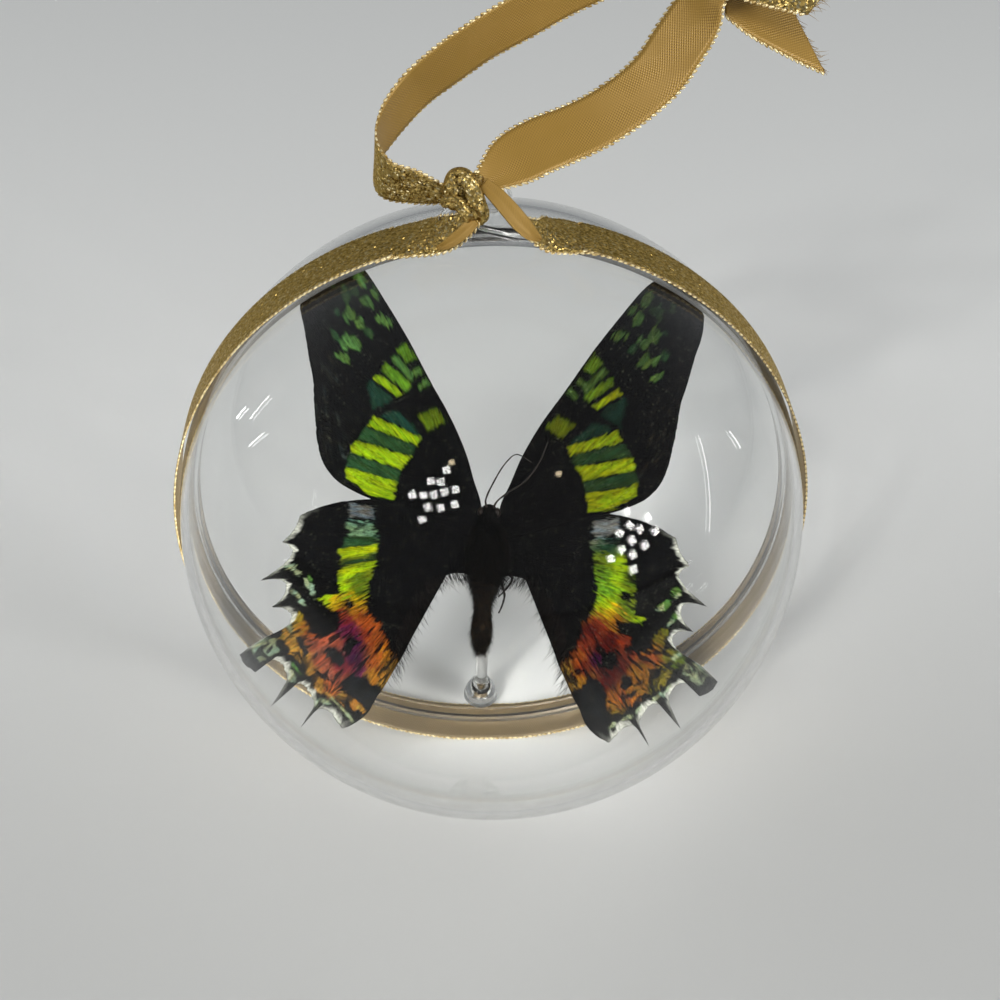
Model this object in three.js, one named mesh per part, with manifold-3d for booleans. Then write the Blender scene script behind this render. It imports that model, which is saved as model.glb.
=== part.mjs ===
// A dried moth on a clear rod inside a two-part clear plastic ball, with a gold ribbon round the seam,
// knotted at the eyelets and carried on as a hanging loop. Millimetres, +Z up, standing on the ribbon.
import * as THREE from 'three';
import { mergeVertices } from 'three/addons/utils/BufferGeometryUtils.js';
import Module from 'manifold-3d';

// Ball
const ballRadius = 50;
const ballWall = 1.3;
const fitGap = 0.3;
const ballTurns = 48;
const ballArcSteps = 12;
const lipThickness = 0.9;
const lipReach = 1.4;
const lipRoot = 1.6;

// Eyelets, one on each half
const eyeletThickness = 1.85;
const eyeletHoleRadius = 1.7;
const eyeletRim = 1.1;
const frontEyelet = { x: -5.4, height: 1.9 };
const backEyelet = { x: -0.4, height: 4.4 };
const saddleHalfWidth = 8.4;
const saddleSink = 0.9;
const saddleFlare = 0.2;
const eyeletCurveSteps = 8;

// Ribbon
const ribbonWidth = 9.4;
const ribbonThickness = 0.5;
const strandThickness = 0.8;
const restLength = 10;
const bandEndAngle = 11.5;
const bandCurveSteps = 40;
const leadWidth = 3;

// Moth: its plane leans back and it is turned a little clockwise
const mothPlace = new THREE.Vector3(-0.6, -6.25, 0);
const mothLean = 33;
const mothTurn = 4.2;
const wingThickness = 0.35;
const forewingLift = 0.25;
const hindwingLift = -0.6;
const antennaRadius = 0.2;
const legRadius = 0.3;
const thinRodSteps = 10;

// Rod and glue
const rodRadius = 1.1;
const rodFoot = new THREE.Vector3(-1.3, 5.5, -47.75);
const rodTop = new THREE.Vector3(-0.9, -3.2, -5.6);
const rodSides = 16;
const beadRadius = 3.1;
const beadLift = 0.6;

// Facets of the bead, the body and the knots
const roundSides = 16;
const roundRows = 10;

const radians = THREE.MathUtils.degToRad;
const bandInner = ballRadius + fitGap;
const bandOuter = bandInner + ribbonThickness;
const restAngle = Math.asin(restLength / 2 / bandOuter);
const centreHeight = bandOuter * Math.cos(restAngle);
const innerRadius = ballRadius - ballWall;

const wasm = await Module();
wasm.setup();

// Closed geometry to a solid that can be joined and cut, and back
function toSolid(geometry) {
  const bare = geometry.clone();
  bare.deleteAttribute('normal');
  bare.deleteAttribute('uv');
  const merged = mergeVertices(bare, 1e-4);
  return new wasm.Manifold(new wasm.Mesh({
    numProp: 3,
    vertProperties: new Float32Array(merged.attributes.position.array),
    triVerts: new Uint32Array(merged.index.array),
  }));
}

function toGeometry(solid) {
  const mesh = solid.getMesh();
  const geometry = new THREE.BufferGeometry();
  geometry.setAttribute('position', new THREE.BufferAttribute(new Float32Array(mesh.vertProperties), 3));
  geometry.setIndex(new THREE.BufferAttribute(new Uint32Array(mesh.triVerts), 1));
  geometry.computeVertexNormals();
  return geometry;
}

const materials = {
  clear: new THREE.MeshStandardMaterial({
    color: 0xe8ecea, roughness: 0.04, metalness: 0, transparent: true, opacity: 0.25,
  }),
  glue: new THREE.MeshStandardMaterial({
    color: 0xe9e7df, roughness: 0.12, metalness: 0, transparent: true, opacity: 0.4,
  }),
  wing: new THREE.MeshStandardMaterial({ color: 0x14160f, roughness: 0.45, metalness: 0 }),
  body: new THREE.MeshStandardMaterial({ color: 0x1a130c, roughness: 0.8, metalness: 0 }),
  glitter: new THREE.MeshStandardMaterial({ color: 0x9a7d3c, roughness: 0.4, metalness: 0.6 }),
  satin: new THREE.MeshStandardMaterial({ color: 0xb5842f, roughness: 0.5, metalness: 0.2 }),
};

const ornament = new THREE.Group();
const ball = new THREE.Group();
ball.position.z = centreHeight;
ornament.add(ball);

const moth = new THREE.Group();
moth.position.copy(mothPlace);
moth.rotation.set(radians(90 - mothLean), 0, radians(-mothTurn));
ball.add(moth);

function addMesh(group, name, geometry, material) {
  const mesh = new THREE.Mesh(geometry, material);
  mesh.name = name;
  group.add(mesh);
  return mesh;
}

// An outline drawn in X and Z, given a thickness along Y from one face to the other
function plateAlongY(shape, fromY, toY, curveSegments) {
  const geometry = new THREE.ExtrudeGeometry(shape, {
    depth: toY - fromY, bevelEnabled: false, curveSegments,
  });
  geometry.rotateX(Math.PI / 2);
  geometry.translate(0, toY, 0);
  return geometry;
}

// Ball halves

// Points of a quarter circle in radius and Y, from the pole to the rim
function quarterArc(radius, side, rimY) {
  const rimAngle = Math.asin(rimY / radius);
  const points = [];
  for (let i = 0; i <= ballArcSteps; i += 1) {
    const angle = THREE.MathUtils.lerp(Math.PI / 2, rimAngle, i / ballArcSteps);
    const across = i === 0 ? 0 : radius * Math.cos(angle);
    points.push(new THREE.Vector2(across, side * radius * Math.sin(angle)));
  }
  return points;
}

// A ring on a flared saddle that grows out of the top of the ball
function eyeletOutline({ x, height }) {
  const ringRadius = eyeletHoleRadius + eyeletRim;
  const ringZ = ballRadius + height;
  const saddleZ = Math.sqrt(ballRadius ** 2 - saddleHalfWidth ** 2) - saddleSink;
  const outline = new THREE.Shape();
  outline.moveTo(-saddleHalfWidth, saddleZ);
  outline.lineTo(saddleHalfWidth, saddleZ);
  outline.quadraticCurveTo(x + ringRadius, ballRadius + saddleFlare, x + ringRadius, ringZ);
  outline.absarc(x, ringZ, ringRadius, 0, Math.PI, false);
  outline.quadraticCurveTo(x - ringRadius, ballRadius + saddleFlare, -saddleHalfWidth, saddleZ);
  const hole = new THREE.Path();
  hole.absarc(x, ringZ, eyeletHoleRadius, 0, 2 * Math.PI, true);
  outline.holes.push(hole);
  return outline;
}

function shellWithEyelet(profile, eyelet, fromY, toY) {
  const shell = toSolid(new THREE.LatheGeometry(profile, ballTurns));
  const tab = toSolid(plateAlongY(eyeletOutline(eyelet), fromY, toY, eyeletCurveSteps));
  const core = toSolid(new THREE.SphereGeometry(innerRadius + ballWall / 2, ballTurns, 2 * ballArcSteps));
  return toGeometry(shell.add(tab.subtract(core)));
}

const seam = fitGap / 2;
const frontProfile = [
  ...quarterArc(ballRadius, -1, seam),
  ...quarterArc(innerRadius, -1, seam).reverse(),
];
const lipOuter = innerRadius - fitGap;
const lipInner = lipOuter - lipThickness;
const backProfile = [
  ...quarterArc(innerRadius, 1, lipRoot),
  new THREE.Vector2(lipInner, lipRoot),
  new THREE.Vector2(lipInner, -lipReach),
  new THREE.Vector2(lipOuter, -lipReach),
  new THREE.Vector2(lipOuter, seam),
  ...quarterArc(ballRadius, 1, seam).reverse(),
];
addMesh(ball, 'front_shell',
  shellWithEyelet(frontProfile, frontEyelet, -eyeletThickness - seam, -seam), materials.clear);
addMesh(ball, 'back_shell',
  shellWithEyelet(backProfile, backEyelet, seam, eyeletThickness + seam), materials.clear);

// Rod and the glue bead round its foot

function rodBetween(foot, top, radius) {
  const along = new THREE.Vector3().subVectors(top, foot);
  const geometry = new THREE.CylinderGeometry(radius, radius, along.length(), rodSides);
  const turn = new THREE.Quaternion().setFromUnitVectors(
    new THREE.Vector3(0, 1, 0), along.clone().normalize());
  geometry.applyQuaternion(turn);
  const middle = new THREE.Vector3().addVectors(foot, top).multiplyScalar(0.5);
  geometry.translate(middle.x, middle.y, middle.z);
  return geometry;
}

addMesh(ball, 'support_rod', rodBetween(rodFoot, rodTop, rodRadius), materials.clear);

const beadBall = new THREE.SphereGeometry(beadRadius, roundSides, roundRows);
beadBall.translate(rodFoot.x, rodFoot.y, rodFoot.z + beadLift);
const floorBall = new THREE.SphereGeometry(innerRadius - fitGap, 2 * ballTurns, ballTurns);
const belowFoot = rodFoot.clone().lerp(rodTop, -beadRadius / rodFoot.distanceTo(rodTop));
const rodRoom = rodBetween(belowFoot, rodTop, rodRadius + fitGap);
const bead = toSolid(beadBall).intersect(toSolid(floorBall)).subtract(toSolid(rodRoom));
addMesh(ball, 'glue_bead', toGeometry(bead), materials.glue);

// Moth body

function ellipsoid(centre, radii) {
  const geometry = new THREE.SphereGeometry(1, roundSides, roundRows);
  geometry.scale(...radii);
  geometry.translate(...centre);
  return geometry;
}

addMesh(moth, 'head', ellipsoid([-0.2, 2.9, 0.2], [1.7, 1.6, 1.5]), materials.body);
addMesh(moth, 'thorax', ellipsoid([0, -3.6, 0], [3.3, 4.6, 2.8]), materials.body);
addMesh(moth, 'abdomen', ellipsoid([-0.2, -14.3, 0.1], [1.8, 5.7, 1.7]), materials.body);

// Wings, drawn for the right side with X outwards and Y towards the head

function outlineOf(points) {
  return new THREE.Shape(points.map(([x, y]) => new THREE.Vector2(x, y)));
}

const forewingCosta = [
  [3.7, 2.6], [4.9, 11.8], [8, 17.6], [12.2, 25.6], [16.7, 31.8], [22.4, 39], [26.4, 41.4],
];
const forewingOuter = [
  [30, 40], [31.3, 36], [30.6, 29.6], [29.3, 23.5], [28.6, 17.2], [28.2, 12.3], [26.4, 7.6],
];
const forewingHind = [[22.6, 5], [14.8, 2.8], [8, 1.2], [3.7, -0.6]];
const hindwingTop = [[3.7, -0.8], [12, 4.2], [22.3, 4.2], [29.8, 1.4]];
const hindwingOuter = [
  [32.8, -3], [30.8, -5], [36, -9.7], [31, -10.4], [34, -14], [31, -16.4],
  [37.2, -20], [39.2, -22.6], [38, -24.6], [34, -22.4], [30, -26], [33, -30.4],
  [28.8, -28.4], [25.6, -30.4], [28.2, -33.8], [22.6, -31.4], [21.2, -33],
];
const hindwingInner = [[17, -29], [13.4, -22], [10.5, -13.6], [7.6, -7.6], [4.1, -6.2]];

function addWing(name, points, side, lift) {
  const geometry = new THREE.ExtrudeGeometry(outlineOf(points.map(([x, y]) => [side * x, y])), {
    depth: wingThickness, bevelEnabled: false,
  });
  geometry.translate(0, 0, lift);
  addMesh(moth, name, geometry, materials.wing);
}

const forewing = [...forewingCosta, ...forewingOuter, ...forewingHind];
const hindwing = [...hindwingTop, ...hindwingOuter, ...hindwingInner];
for (const [sideName, side] of [['left', -1], ['right', 1]]) {
  addWing(`${sideName}_forewing`, forewing, side, forewingLift);
  addWing(`${sideName}_hindwing`, hindwing, side, hindwingLift);
}

// Antennae and the two legs that show, as thin bent rods

function bentRod(points, radius) {
  const section = new THREE.Shape();
  section.absarc(0, 0, radius, 0, 2 * Math.PI, false);
  const path = new THREE.CatmullRomCurve3(points.map((p) => new THREE.Vector3(...p)));
  return new THREE.ExtrudeGeometry(section, {
    steps: thinRodSteps, extrudePath: path, curveSegments: 3, bevelEnabled: false,
  });
}

const leftAntenna = [[-1, 5, 0.9], [0.1, 7.9, 1.3], [2, 11.4, 1.5], [3.5, 12.7, 1.3], [6, 11.6, 1.2]];
const rightAntenna = [[0.9, 5, 0.9], [2.6, 6.6, 1.4], [5, 8.4, 1.5], [7.2, 11.6, 1.3], [8.4, 15, 1.2]];
const rightMidLeg = [[3.5, -6.6, -1.6], [4.3, -7.6, -1.9], [3.2, -9.6, -1.9], [2.2, -10.6, -1.5]];
const rightHindLeg = [[2.6, -8.6, -3], [3.3, -10.4, -3.2], [3, -12.2, -3], [2.5, -13.4, -2.6]];
addMesh(moth, 'left_antenna', bentRod(leftAntenna, antennaRadius), materials.body);
addMesh(moth, 'right_antenna', bentRod(rightAntenna, antennaRadius), materials.body);
addMesh(moth, 'right_mid_leg', bentRod(rightMidLeg, legRadius), materials.body);
addMesh(moth, 'right_hind_leg', bentRod(rightHindLeg, legRadius), materials.body);

// Ribbon round the seam, with a short flat where it is pressed on the table

function bandOutline() {
  const rightEnd = radians(90 - bandEndAngle);
  const leftEnd = radians(90 + bandEndAngle) - 2 * Math.PI;
  const bottom = -Math.PI / 2;
  const outline = new THREE.Shape();
  outline.absarc(0, 0, bandOuter, rightEnd, bottom + restAngle, true);
  outline.absarc(0, 0, bandOuter, bottom - restAngle, leftEnd, true);
  outline.absarc(0, 0, bandInner, leftEnd, rightEnd, false);
  return outline;
}

const band = plateAlongY(bandOutline(), -ribbonWidth / 2, ribbonWidth / 2, bandCurveSteps);
addMesh(ball, 'ribbon_band', band, materials.glitter);

// A flat stretch of ribbon along a hand-laid route, its width starting along a given direction
function ribbonStretch(name, points, width, widthDirection, material) {
  const path = new THREE.CatmullRomCurve3(points.map((p) => new THREE.Vector3(...p)), false, 'centripetal');
  const steps = 2 * (points.length - 1);
  const frames = path.computeFrenetFrames(steps, false);
  const across = new THREE.Vector3(...widthDirection);
  const turn = Math.atan2(across.dot(frames.binormals[0]), across.dot(frames.normals[0]));
  const corners = [[1, 1], [-1, 1], [-1, -1], [1, -1]].map(([w, t]) => new THREE.Vector2(
    w * width / 2, t * strandThickness / 2).rotateAround(new THREE.Vector2(), turn));
  const geometry = new THREE.ExtrudeGeometry(new THREE.Shape(corners), {
    steps, extrudePath: path, bevelEnabled: false,
  });
  addMesh(ball, name, geometry, material);
}

const facingUp = [0, 0.6, 0.8];
const leftLead = [[-9.6, -2.6, 51.6], [-8.6, -3.6, 52.2], [-7.2, -4.2, 53], [-6.2, -4.2, 53.8]];
const rightLead = [[9.2, -1.2, 51.4], [7, -3.2, 53.2], [3.2, -4.2, 56], [-0.6, -4, 58]];
const leftStrand = [
  [-7.6, -2.2, 58.8], [-12, -2.6, 58], [-16.2, -2, 58.8], [-17.4, 1, 61.4], [-15.4, 5, 64],
  [-11.2, 8, 67.8], [-6.8, 8.7, 71.2], [-2.1, 9.2, 74.2], [4, 10, 77], [10.3, 11, 79.2],
  [18, 12, 81.6], [25, 12.4, 82.6], [28.2, 12.8, 82.4],
];
const rightStrand = [
  [-0.9, -2.2, 59.4], [2.4, 1, 60], [6.3, 4, 61.2], [10.8, 6.4, 62], [15, 8, 63.4],
  [19.6, 9.4, 66], [23.4, 10.6, 69.2], [26.4, 11.6, 73], [29.2, 12.4, 76.6],
];
const glitterTail = [[35.4, 12.4, 81.4], [39.4, 12, 81.6], [43.6, 11.8, 81], [47.6, 11.8, 80]];
const satinTail = [[35, 16.6, 76], [39.4, 17.4, 73.4], [44, 17.8, 70.2], [48.4, 18, 67]];

ribbonStretch('ribbon_left_lead', leftLead, leadWidth, [0.6, 0, 0.8], materials.satin);
ribbonStretch('ribbon_right_lead', rightLead, leadWidth, [0.6, 0, 0.8], materials.satin);
addMesh(ball, 'ribbon_knot', ellipsoid([-4.2, -2.7, 58], [2.9, 2.6, 3.2]), materials.glitter);
ribbonStretch('left_strand', leftStrand, ribbonWidth, facingUp, materials.satin);
ribbonStretch('right_strand', rightStrand, ribbonWidth, facingUp, materials.satin);
addMesh(ball, 'bow_knot', ellipsoid([31.8, 13, 81], [3.2, 3.2, 3.4]), materials.glitter);
ribbonStretch('glitter_tail', glitterTail, ribbonWidth, facingUp, materials.glitter);
ribbonStretch('satin_tail', satinTail, ribbonWidth, [0.4, 0.55, 0.75], materials.satin);

export default ornament;
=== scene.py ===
import bmesh
import bpy
import numpy as np
from mathutils import Matrix


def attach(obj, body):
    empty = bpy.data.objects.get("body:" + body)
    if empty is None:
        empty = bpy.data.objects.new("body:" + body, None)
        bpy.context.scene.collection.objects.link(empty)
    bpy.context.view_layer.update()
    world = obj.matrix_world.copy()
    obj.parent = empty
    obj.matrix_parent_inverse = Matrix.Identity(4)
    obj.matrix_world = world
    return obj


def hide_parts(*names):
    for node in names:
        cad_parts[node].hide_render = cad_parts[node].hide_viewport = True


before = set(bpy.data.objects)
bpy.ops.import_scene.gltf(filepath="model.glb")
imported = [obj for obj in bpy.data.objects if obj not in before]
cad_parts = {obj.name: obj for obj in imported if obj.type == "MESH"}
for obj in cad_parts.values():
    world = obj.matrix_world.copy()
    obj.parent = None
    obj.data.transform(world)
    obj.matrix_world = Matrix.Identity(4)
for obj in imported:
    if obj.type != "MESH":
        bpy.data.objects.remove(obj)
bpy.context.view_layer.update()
print("frame loaded with", len(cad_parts), "nodes")

# Everything below is worked out in millimetres from the ball's centre and put down in metres
mm = 0.001
ball = dict(radius=50.0, wall=1.3, seam=0.15, turns=192, arcSteps=56,
            lipThickness=0.7, lipReach=1.4, lipRoot=1.6, lipGap=0.3)
ribbon = dict(width=9.4, thickness=0.34, bandOuter=50.8, restLength=10.0, columns=13,
              beadPitch=0.9, beadSize=(0.4, 0.46, 0.18), beadLean=0.8)
centreHeight = np.sqrt(ribbon["bandOuter"] ** 2 - (ribbon["restLength"] / 2) ** 2)
ballCentre = np.array([0, 0, centreHeight])


# Small maths

def unit(vectors):
    return vectors / np.maximum(np.linalg.norm(vectors, axis=-1, keepdims=True), 1e-12)


def ease(low, high, values):
    x = np.clip((values - low) / (high - low), 0, 1)
    return x * x * (3 - 2 * x)


def linear(red, green, blue):
    # a display colour, 0 to 255, as light
    c = np.array([red, green, blue]) / 255
    return np.where(c <= 0.04045, c / 12.92, ((c + 0.055) / 1.055) ** 2.4)


def curveThrough(points, count, dims=None):
    # a cubic through the points: each span leaves and arrives with the slope set by its neighbours;
    # then spaced evenly by length over the first dims columns
    points = np.asarray(points, float)
    dims = dims or points.shape[1]
    gaps = np.linalg.norm(np.diff(points[:, :dims], axis=0), axis=1)
    knots = np.concatenate([[0], np.cumsum(gaps**0.5)])
    slopes = np.gradient(points, knots, axis=0)
    fine = np.linspace(0, knots[-1], 48 * len(points))
    span = np.clip(np.searchsorted(knots, fine, side="right") - 1, 0, len(knots) - 2)
    gap = (knots[span + 1] - knots[span])[:, None]
    x = ((fine - knots[span])[:, None]) / gap
    curve = ((2 * x**3 - 3 * x**2 + 1) * points[span] + (x**3 - 2 * x**2 + x) * gap * slopes[span]
             + (3 * x**2 - 2 * x**3) * points[span + 1] + (x**3 - x**2) * gap * slopes[span + 1])
    along = distances(curve[:, :dims])
    at = np.linspace(0, along[-1], count)
    return np.stack([np.interp(at, along, column) for column in curve.T], -1)


def distances(curve):
    # how far along the curve each of its points lies
    return np.concatenate([[0], np.cumsum(np.linalg.norm(np.diff(curve, axis=0), axis=1))])


def lengthOf(curve):
    return distances(curve)[-1]


# Surfaces: each is a dictionary of points, quads, each quad's look, and each point's lay and tint

def gridQuads(rows, cols, wrapRows=False, wrapCols=False):
    # quads between the neighbours of a grid of points, going round where a side wraps
    i = np.arange(rows - (not wrapRows))[:, None]
    j = np.arange(cols - (not wrapCols))[None, :]
    i2, j2 = (i + 1) % rows, (j + 1) % cols
    corners = np.broadcast_arrays(i * cols + j, i * cols + j2, i2 * cols + j2, i2 * cols + j)
    return np.stack(corners, -1).reshape(-1, 4)


def surface(points, wrapRows=False, wrapCols=False, look=0, lay=None, tint=None):
    rows, cols = points.shape[:2]
    quads = gridQuads(rows, cols, wrapRows, wrapCols)
    lay = np.zeros((rows, cols, 3)) if lay is None else lay
    tint = np.ones((rows, cols, 3)) if tint is None else tint
    return dict(points=points.reshape(-1, 3), quads=quads, look=np.broadcast_to(look, len(quads)),
                lay=lay.reshape(-1, 3), tint=tint.reshape(-1, 3))


def copies(one, places):
    # one small surface put at many places: places is (count, points, 3), already worked out
    count, size = places.shape[:2]
    starts = np.arange(count)[:, None, None] * size
    return dict(points=places.reshape(-1, 3), quads=(one["quads"][None] + starts).reshape(-1, 4),
                look=np.tile(one["look"], count), lay=np.tile(one["lay"], (count, 1)),
                tint=np.tile(one["tint"], (count, 1)))


def makeMesh(name, surfaces):
    starts = np.cumsum([0] + [len(s["points"]) for s in surfaces])
    quads = np.concatenate([s["quads"] + start for s, start in zip(surfaces, starts)]).astype(np.int32)
    gather = {key: np.concatenate([s[key] for s in surfaces]) for key in ("points", "look", "lay", "tint")}
    mesh = bpy.data.meshes.new(name)
    mesh.vertices.add(len(gather["points"]))
    mesh.vertices.foreach_set("co", ((gather["points"] + ballCentre) * mm).astype(np.float32).ravel())
    mesh.loops.add(quads.size)
    mesh.loops.foreach_set("vertex_index", quads.ravel())
    mesh.polygons.add(len(quads))
    mesh.polygons.foreach_set("loop_start", np.arange(0, quads.size, 4, dtype=np.int32))
    mesh.polygons.foreach_set("material_index", gather["look"].astype(np.int32))
    mesh.polygons.foreach_set("use_smooth", np.ones(len(quads), bool))
    mesh.update(calc_edges=True)
    rgba = np.concatenate([gather["tint"], np.ones((len(gather["tint"]), 1))], 1)
    for key, kind, field, values in (("lay", "FLOAT_VECTOR", "vector", gather["lay"]),
                                     ("tint", "FLOAT_COLOR", "color", rgba)):
        made = mesh.attributes.new(key, kind, "POINT")
        made.data.foreach_set(field, values.astype(np.float32).ravel())
    weld(mesh)
    return mesh


def weld(mesh):
    # closes seams and poles, then turns every face outwards
    shape = bmesh.new()
    shape.from_mesh(mesh)
    bmesh.ops.remove_doubles(shape, verts=shape.verts, dist=2e-7)
    bmesh.ops.recalc_face_normals(shape, faces=shape.faces)
    shape.to_mesh(mesh)
    shape.free()


def addPiece(name, mesh, looks, slot, *nodes):
    for look in looks:
        mesh.materials.append(look)
    piece = bpy.data.objects.new(name, mesh)
    bpy.context.scene.collection.objects.link(piece)
    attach(piece, "root")
    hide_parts(*nodes)
    return piece


def turned(profile, turns):
    # a profile of (radius, depth) points carried round the Y axis
    angle = np.linspace(0, 2 * np.pi, turns, endpoint=False)
    radius, depth = profile[:, 0][:, None], profile[:, 1][:, None]
    across, up = radius * np.cos(angle), radius * np.sin(angle)
    return np.stack([across, np.broadcast_to(depth, across.shape), up], -1)


def tube(path, radii, sides):
    # a ring of points carried along a path, closed to a point at both ends
    path = np.concatenate([path[:1], path, path[-1:]])
    radii = np.concatenate([[0], radii, [0]])
    ahead = unit(np.gradient(path, axis=0) + 1e-9)
    side = unit(np.cross(ahead, [0.31, 0.22, 0.92]))
    other = np.cross(ahead, side)
    angle = np.linspace(0, 2 * np.pi, sides, endpoint=False)
    ring = side[:, None] * np.cos(angle)[:, None] + other[:, None] * np.sin(angle)[:, None]
    points = path[:, None] + ring * radii[:, None, None]
    lay = np.zeros(points.shape)
    lay[..., 0] = np.linspace(0, 1, len(path))[:, None]
    lay[..., 1] = np.linspace(0, 1, sides)[None]
    return surface(points, wrapCols=True, lay=lay)


def hairs(roots, ahead, lengths, thickness, bend, tints):
    # every hair is a three-sided spike: wide near its root, bent towards a direction and closed at both ends
    along = np.array([0, 0.02, 0.4, 0.75, 1.0])
    widths = np.array([0, 1, 0.8, 0.45, 0])
    ahead, side = unit(ahead), unit(np.cross(ahead, [0.3, 0.5, 0.81]))
    other = np.cross(ahead, side)
    spine = (roots[:, None] + ahead[:, None] * (along * lengths[:, None])[..., None]
             + bend[:, None] * (along**2 * lengths[:, None])[..., None])
    angle = np.arange(3) * 2 * np.pi / 3
    ring = side[:, None] * np.cos(angle)[:, None] + other[:, None] * np.sin(angle)[:, None]
    points = spine[:, :, None] + ring[:, None] * (widths * thickness)[None, :, None, None]
    one = surface(points[0], wrapCols=True)
    made = copies(one, points.reshape(len(roots), -1, 3))
    made["tint"] = np.repeat(tints, len(along) * 3, axis=0)
    return made


# Shader maths: one class wraps a socket, and its operators add Math nodes

class Socket:
    def __init__(self, tree, socket=None):
        self.tree, self.socket = tree, socket

    def node(self, kind, settings=None, inputs=None, out=0):
        made = self.tree.nodes.new(kind)
        for key, value in (settings or {}).items():
            setattr(made, key, value)
        for key, value in (inputs or {}).items():
            if isinstance(value, Socket):
                self.tree.links.new(value.socket, made.inputs[key])
            else:
                made.inputs[key].default_value = value
        return Socket(self.tree, made.outputs[out])

    def maths(self, operation, first, second):
        return self.node("ShaderNodeMath", {"operation": operation}, {0: first, 1: second})

    def __add__(self, other):
        return self.maths("ADD", self, other)

    def __radd__(self, other):
        return self.maths("ADD", other, self)

    def __sub__(self, other):
        return self.maths("SUBTRACT", self, other)

    def __rsub__(self, other):
        return self.maths("SUBTRACT", other, self)

    def __mul__(self, other):
        return self.maths("MULTIPLY", self, other)

    def __rmul__(self, other):
        return self.maths("MULTIPLY", other, self)

    def sine(self):
        return self.maths("SINE", self, 0)

    def scaledBy(self, share):
        return self.node("ShaderNodeVectorMath", {"operation": "SCALE"}, {0: self, "Scale": share})

    def ranged(self, low, high, first=0.0, last=1.0):
        return self.node("ShaderNodeMapRange", {"interpolation_type": "SMOOTHSTEP"},
                         {"Value": self, "From Min": low, "From Max": high, "To Min": first, "To Max": last})

    def mix(self, first, second):
        # self is the share of the second colour
        return self.node("ShaderNodeMix", {"data_type": "RGBA"},
                         {0: self, 6: colourOf(first), 7: colourOf(second)}, 2)

    def part(self, axis):
        return self.node("ShaderNodeSeparateXYZ", None, {0: self}, "XYZ".index(axis))

    def stretched(self, scale):
        return self.node("ShaderNodeMapping", None, {"Vector": self, "Scale": scale})

    def noise(self, scale, detail):
        return self.node("ShaderNodeTexNoise", None, {"Vector": self, "Scale": scale, "Detail": detail})

    def cells(self, scale):
        return self.node("ShaderNodeTexVoronoi", None, {"Vector": self, "Scale": scale}, "Color")

    def bump(self, distance, strength):
        return self.node("ShaderNodeBump", None, {"Height": self, "Distance": distance, "Strength": strength})


def colourOf(value):
    return value if isinstance(value, Socket) else (*value, 1)


def newMaterial(name, **plain):
    # a Principled material: the plain values go straight on its sockets
    material = bpy.data.materials.new(name)
    material.use_nodes = True
    shader = material.node_tree.nodes["Principled BSDF"]
    for key, value in plain.items():
        shader.inputs[key.replace("_", " ")].default_value = value
    start = Socket(material.node_tree)
    place = start.node("ShaderNodeTexCoord", None, None, "Object")
    lay = start.node("ShaderNodeAttribute", {"attribute_name": "lay"}, None, "Vector")
    tint = start.node("ShaderNodeAttribute", {"attribute_name": "tint"}, None, "Color")
    return material, shader, place, lay, tint


def feed(shader, **links):
    for key, value in links.items():
        value.tree.links.new(value.socket, shader.inputs[key.replace("_", " ")])


# Finishes

def clearPlasticFinish():
    material, shader, place, _, tint = newMaterial(
        "clearPlastic", Transmission_Weight=1.0, IOR=1.49, Base_Color=(0.95, 0.955, 0.952, 1),
        Specular_Tint=(0.24, 0.24, 0.24, 1))
    # the domes are polished; the lip, the eyelets and the rod's foot, where the tint is dark, less so
    smears = place.noise(55, 3)
    scratches = place.stretched((40, 40, 900)).noise(3, 2)
    feed(shader, Roughness=0.002 + smears.ranged(0.6, 0.85) * 0.02 + scratches.ranged(0.68, 0.76) * 0.03
         + tint.part("X").ranged(1.0, 0.0) * 0.22)
    return material


def glueFinish():
    material, shader, place, *_ = newMaterial(
        "clearGlue", Transmission_Weight=1.0, IOR=1.48, Base_Color=(0.97, 0.97, 0.95, 1))
    ripple = place.noise(420, 2)
    feed(shader, Roughness=0.03 + ripple.ranged(0.5, 0.8) * 0.12, Normal=ripple.bump(0.00025, 0.5))
    return material


def wingFinish():
    # scales lie in rows across the veins: fine ribs along each vein, and specks that break up the colour
    material, shader, place, lay, tint = newMaterial("wingScales", IOR=1.45, Specular_IOR_Level=0.025)
    fibres = lay.stretched((620, 16, 1)).noise(1.0, 3).ranged(0.3, 0.7)
    grain = place.cells(4200).part("X")
    patches = place.noise(420, 3).ranged(0.35, 0.7)
    shadeOf = 0.5 + fibres * 0.55 + grain * 0.35 - patches * 0.22
    dusted = (grain.ranged(0.95, 0.99) * 0.12).mix(tint.scaledBy(shadeOf), (0.16, 0.17, 0.12))
    feed(shader, Base_Color=dusted, Roughness=0.5 + grain * 0.25,
         Normal=(fibres * 0.6 + grain * 0.4).bump(0.00008, 0.6))
    return material


def furFinish():
    material, shader, place, _, tint = newMaterial("bodyFur", Specular_IOR_Level=0.04)
    streaks = place.stretched((1500, 1500, 500)).noise(1.0, 2)
    feed(shader, Base_Color=tint.scaledBy(0.6 + streaks * 0.8), Roughness=0.6 + streaks * 0.2)
    return material


def chitinFinish():
    material, shader, place, lay, _ = newMaterial("darkChitin", Specular_IOR_Level=0.2)
    pits = place.noise(2400, 2)
    rings = (lay.part("X") * 190).sine()
    feed(shader, Base_Color=pits.mix((0.003, 0.002, 0.002), (0.014, 0.009, 0.005)), Roughness=0.25 + pits * 0.3,
         Normal=(rings * 0.3 + pits).bump(0.00004, 0.5))
    return material


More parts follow.
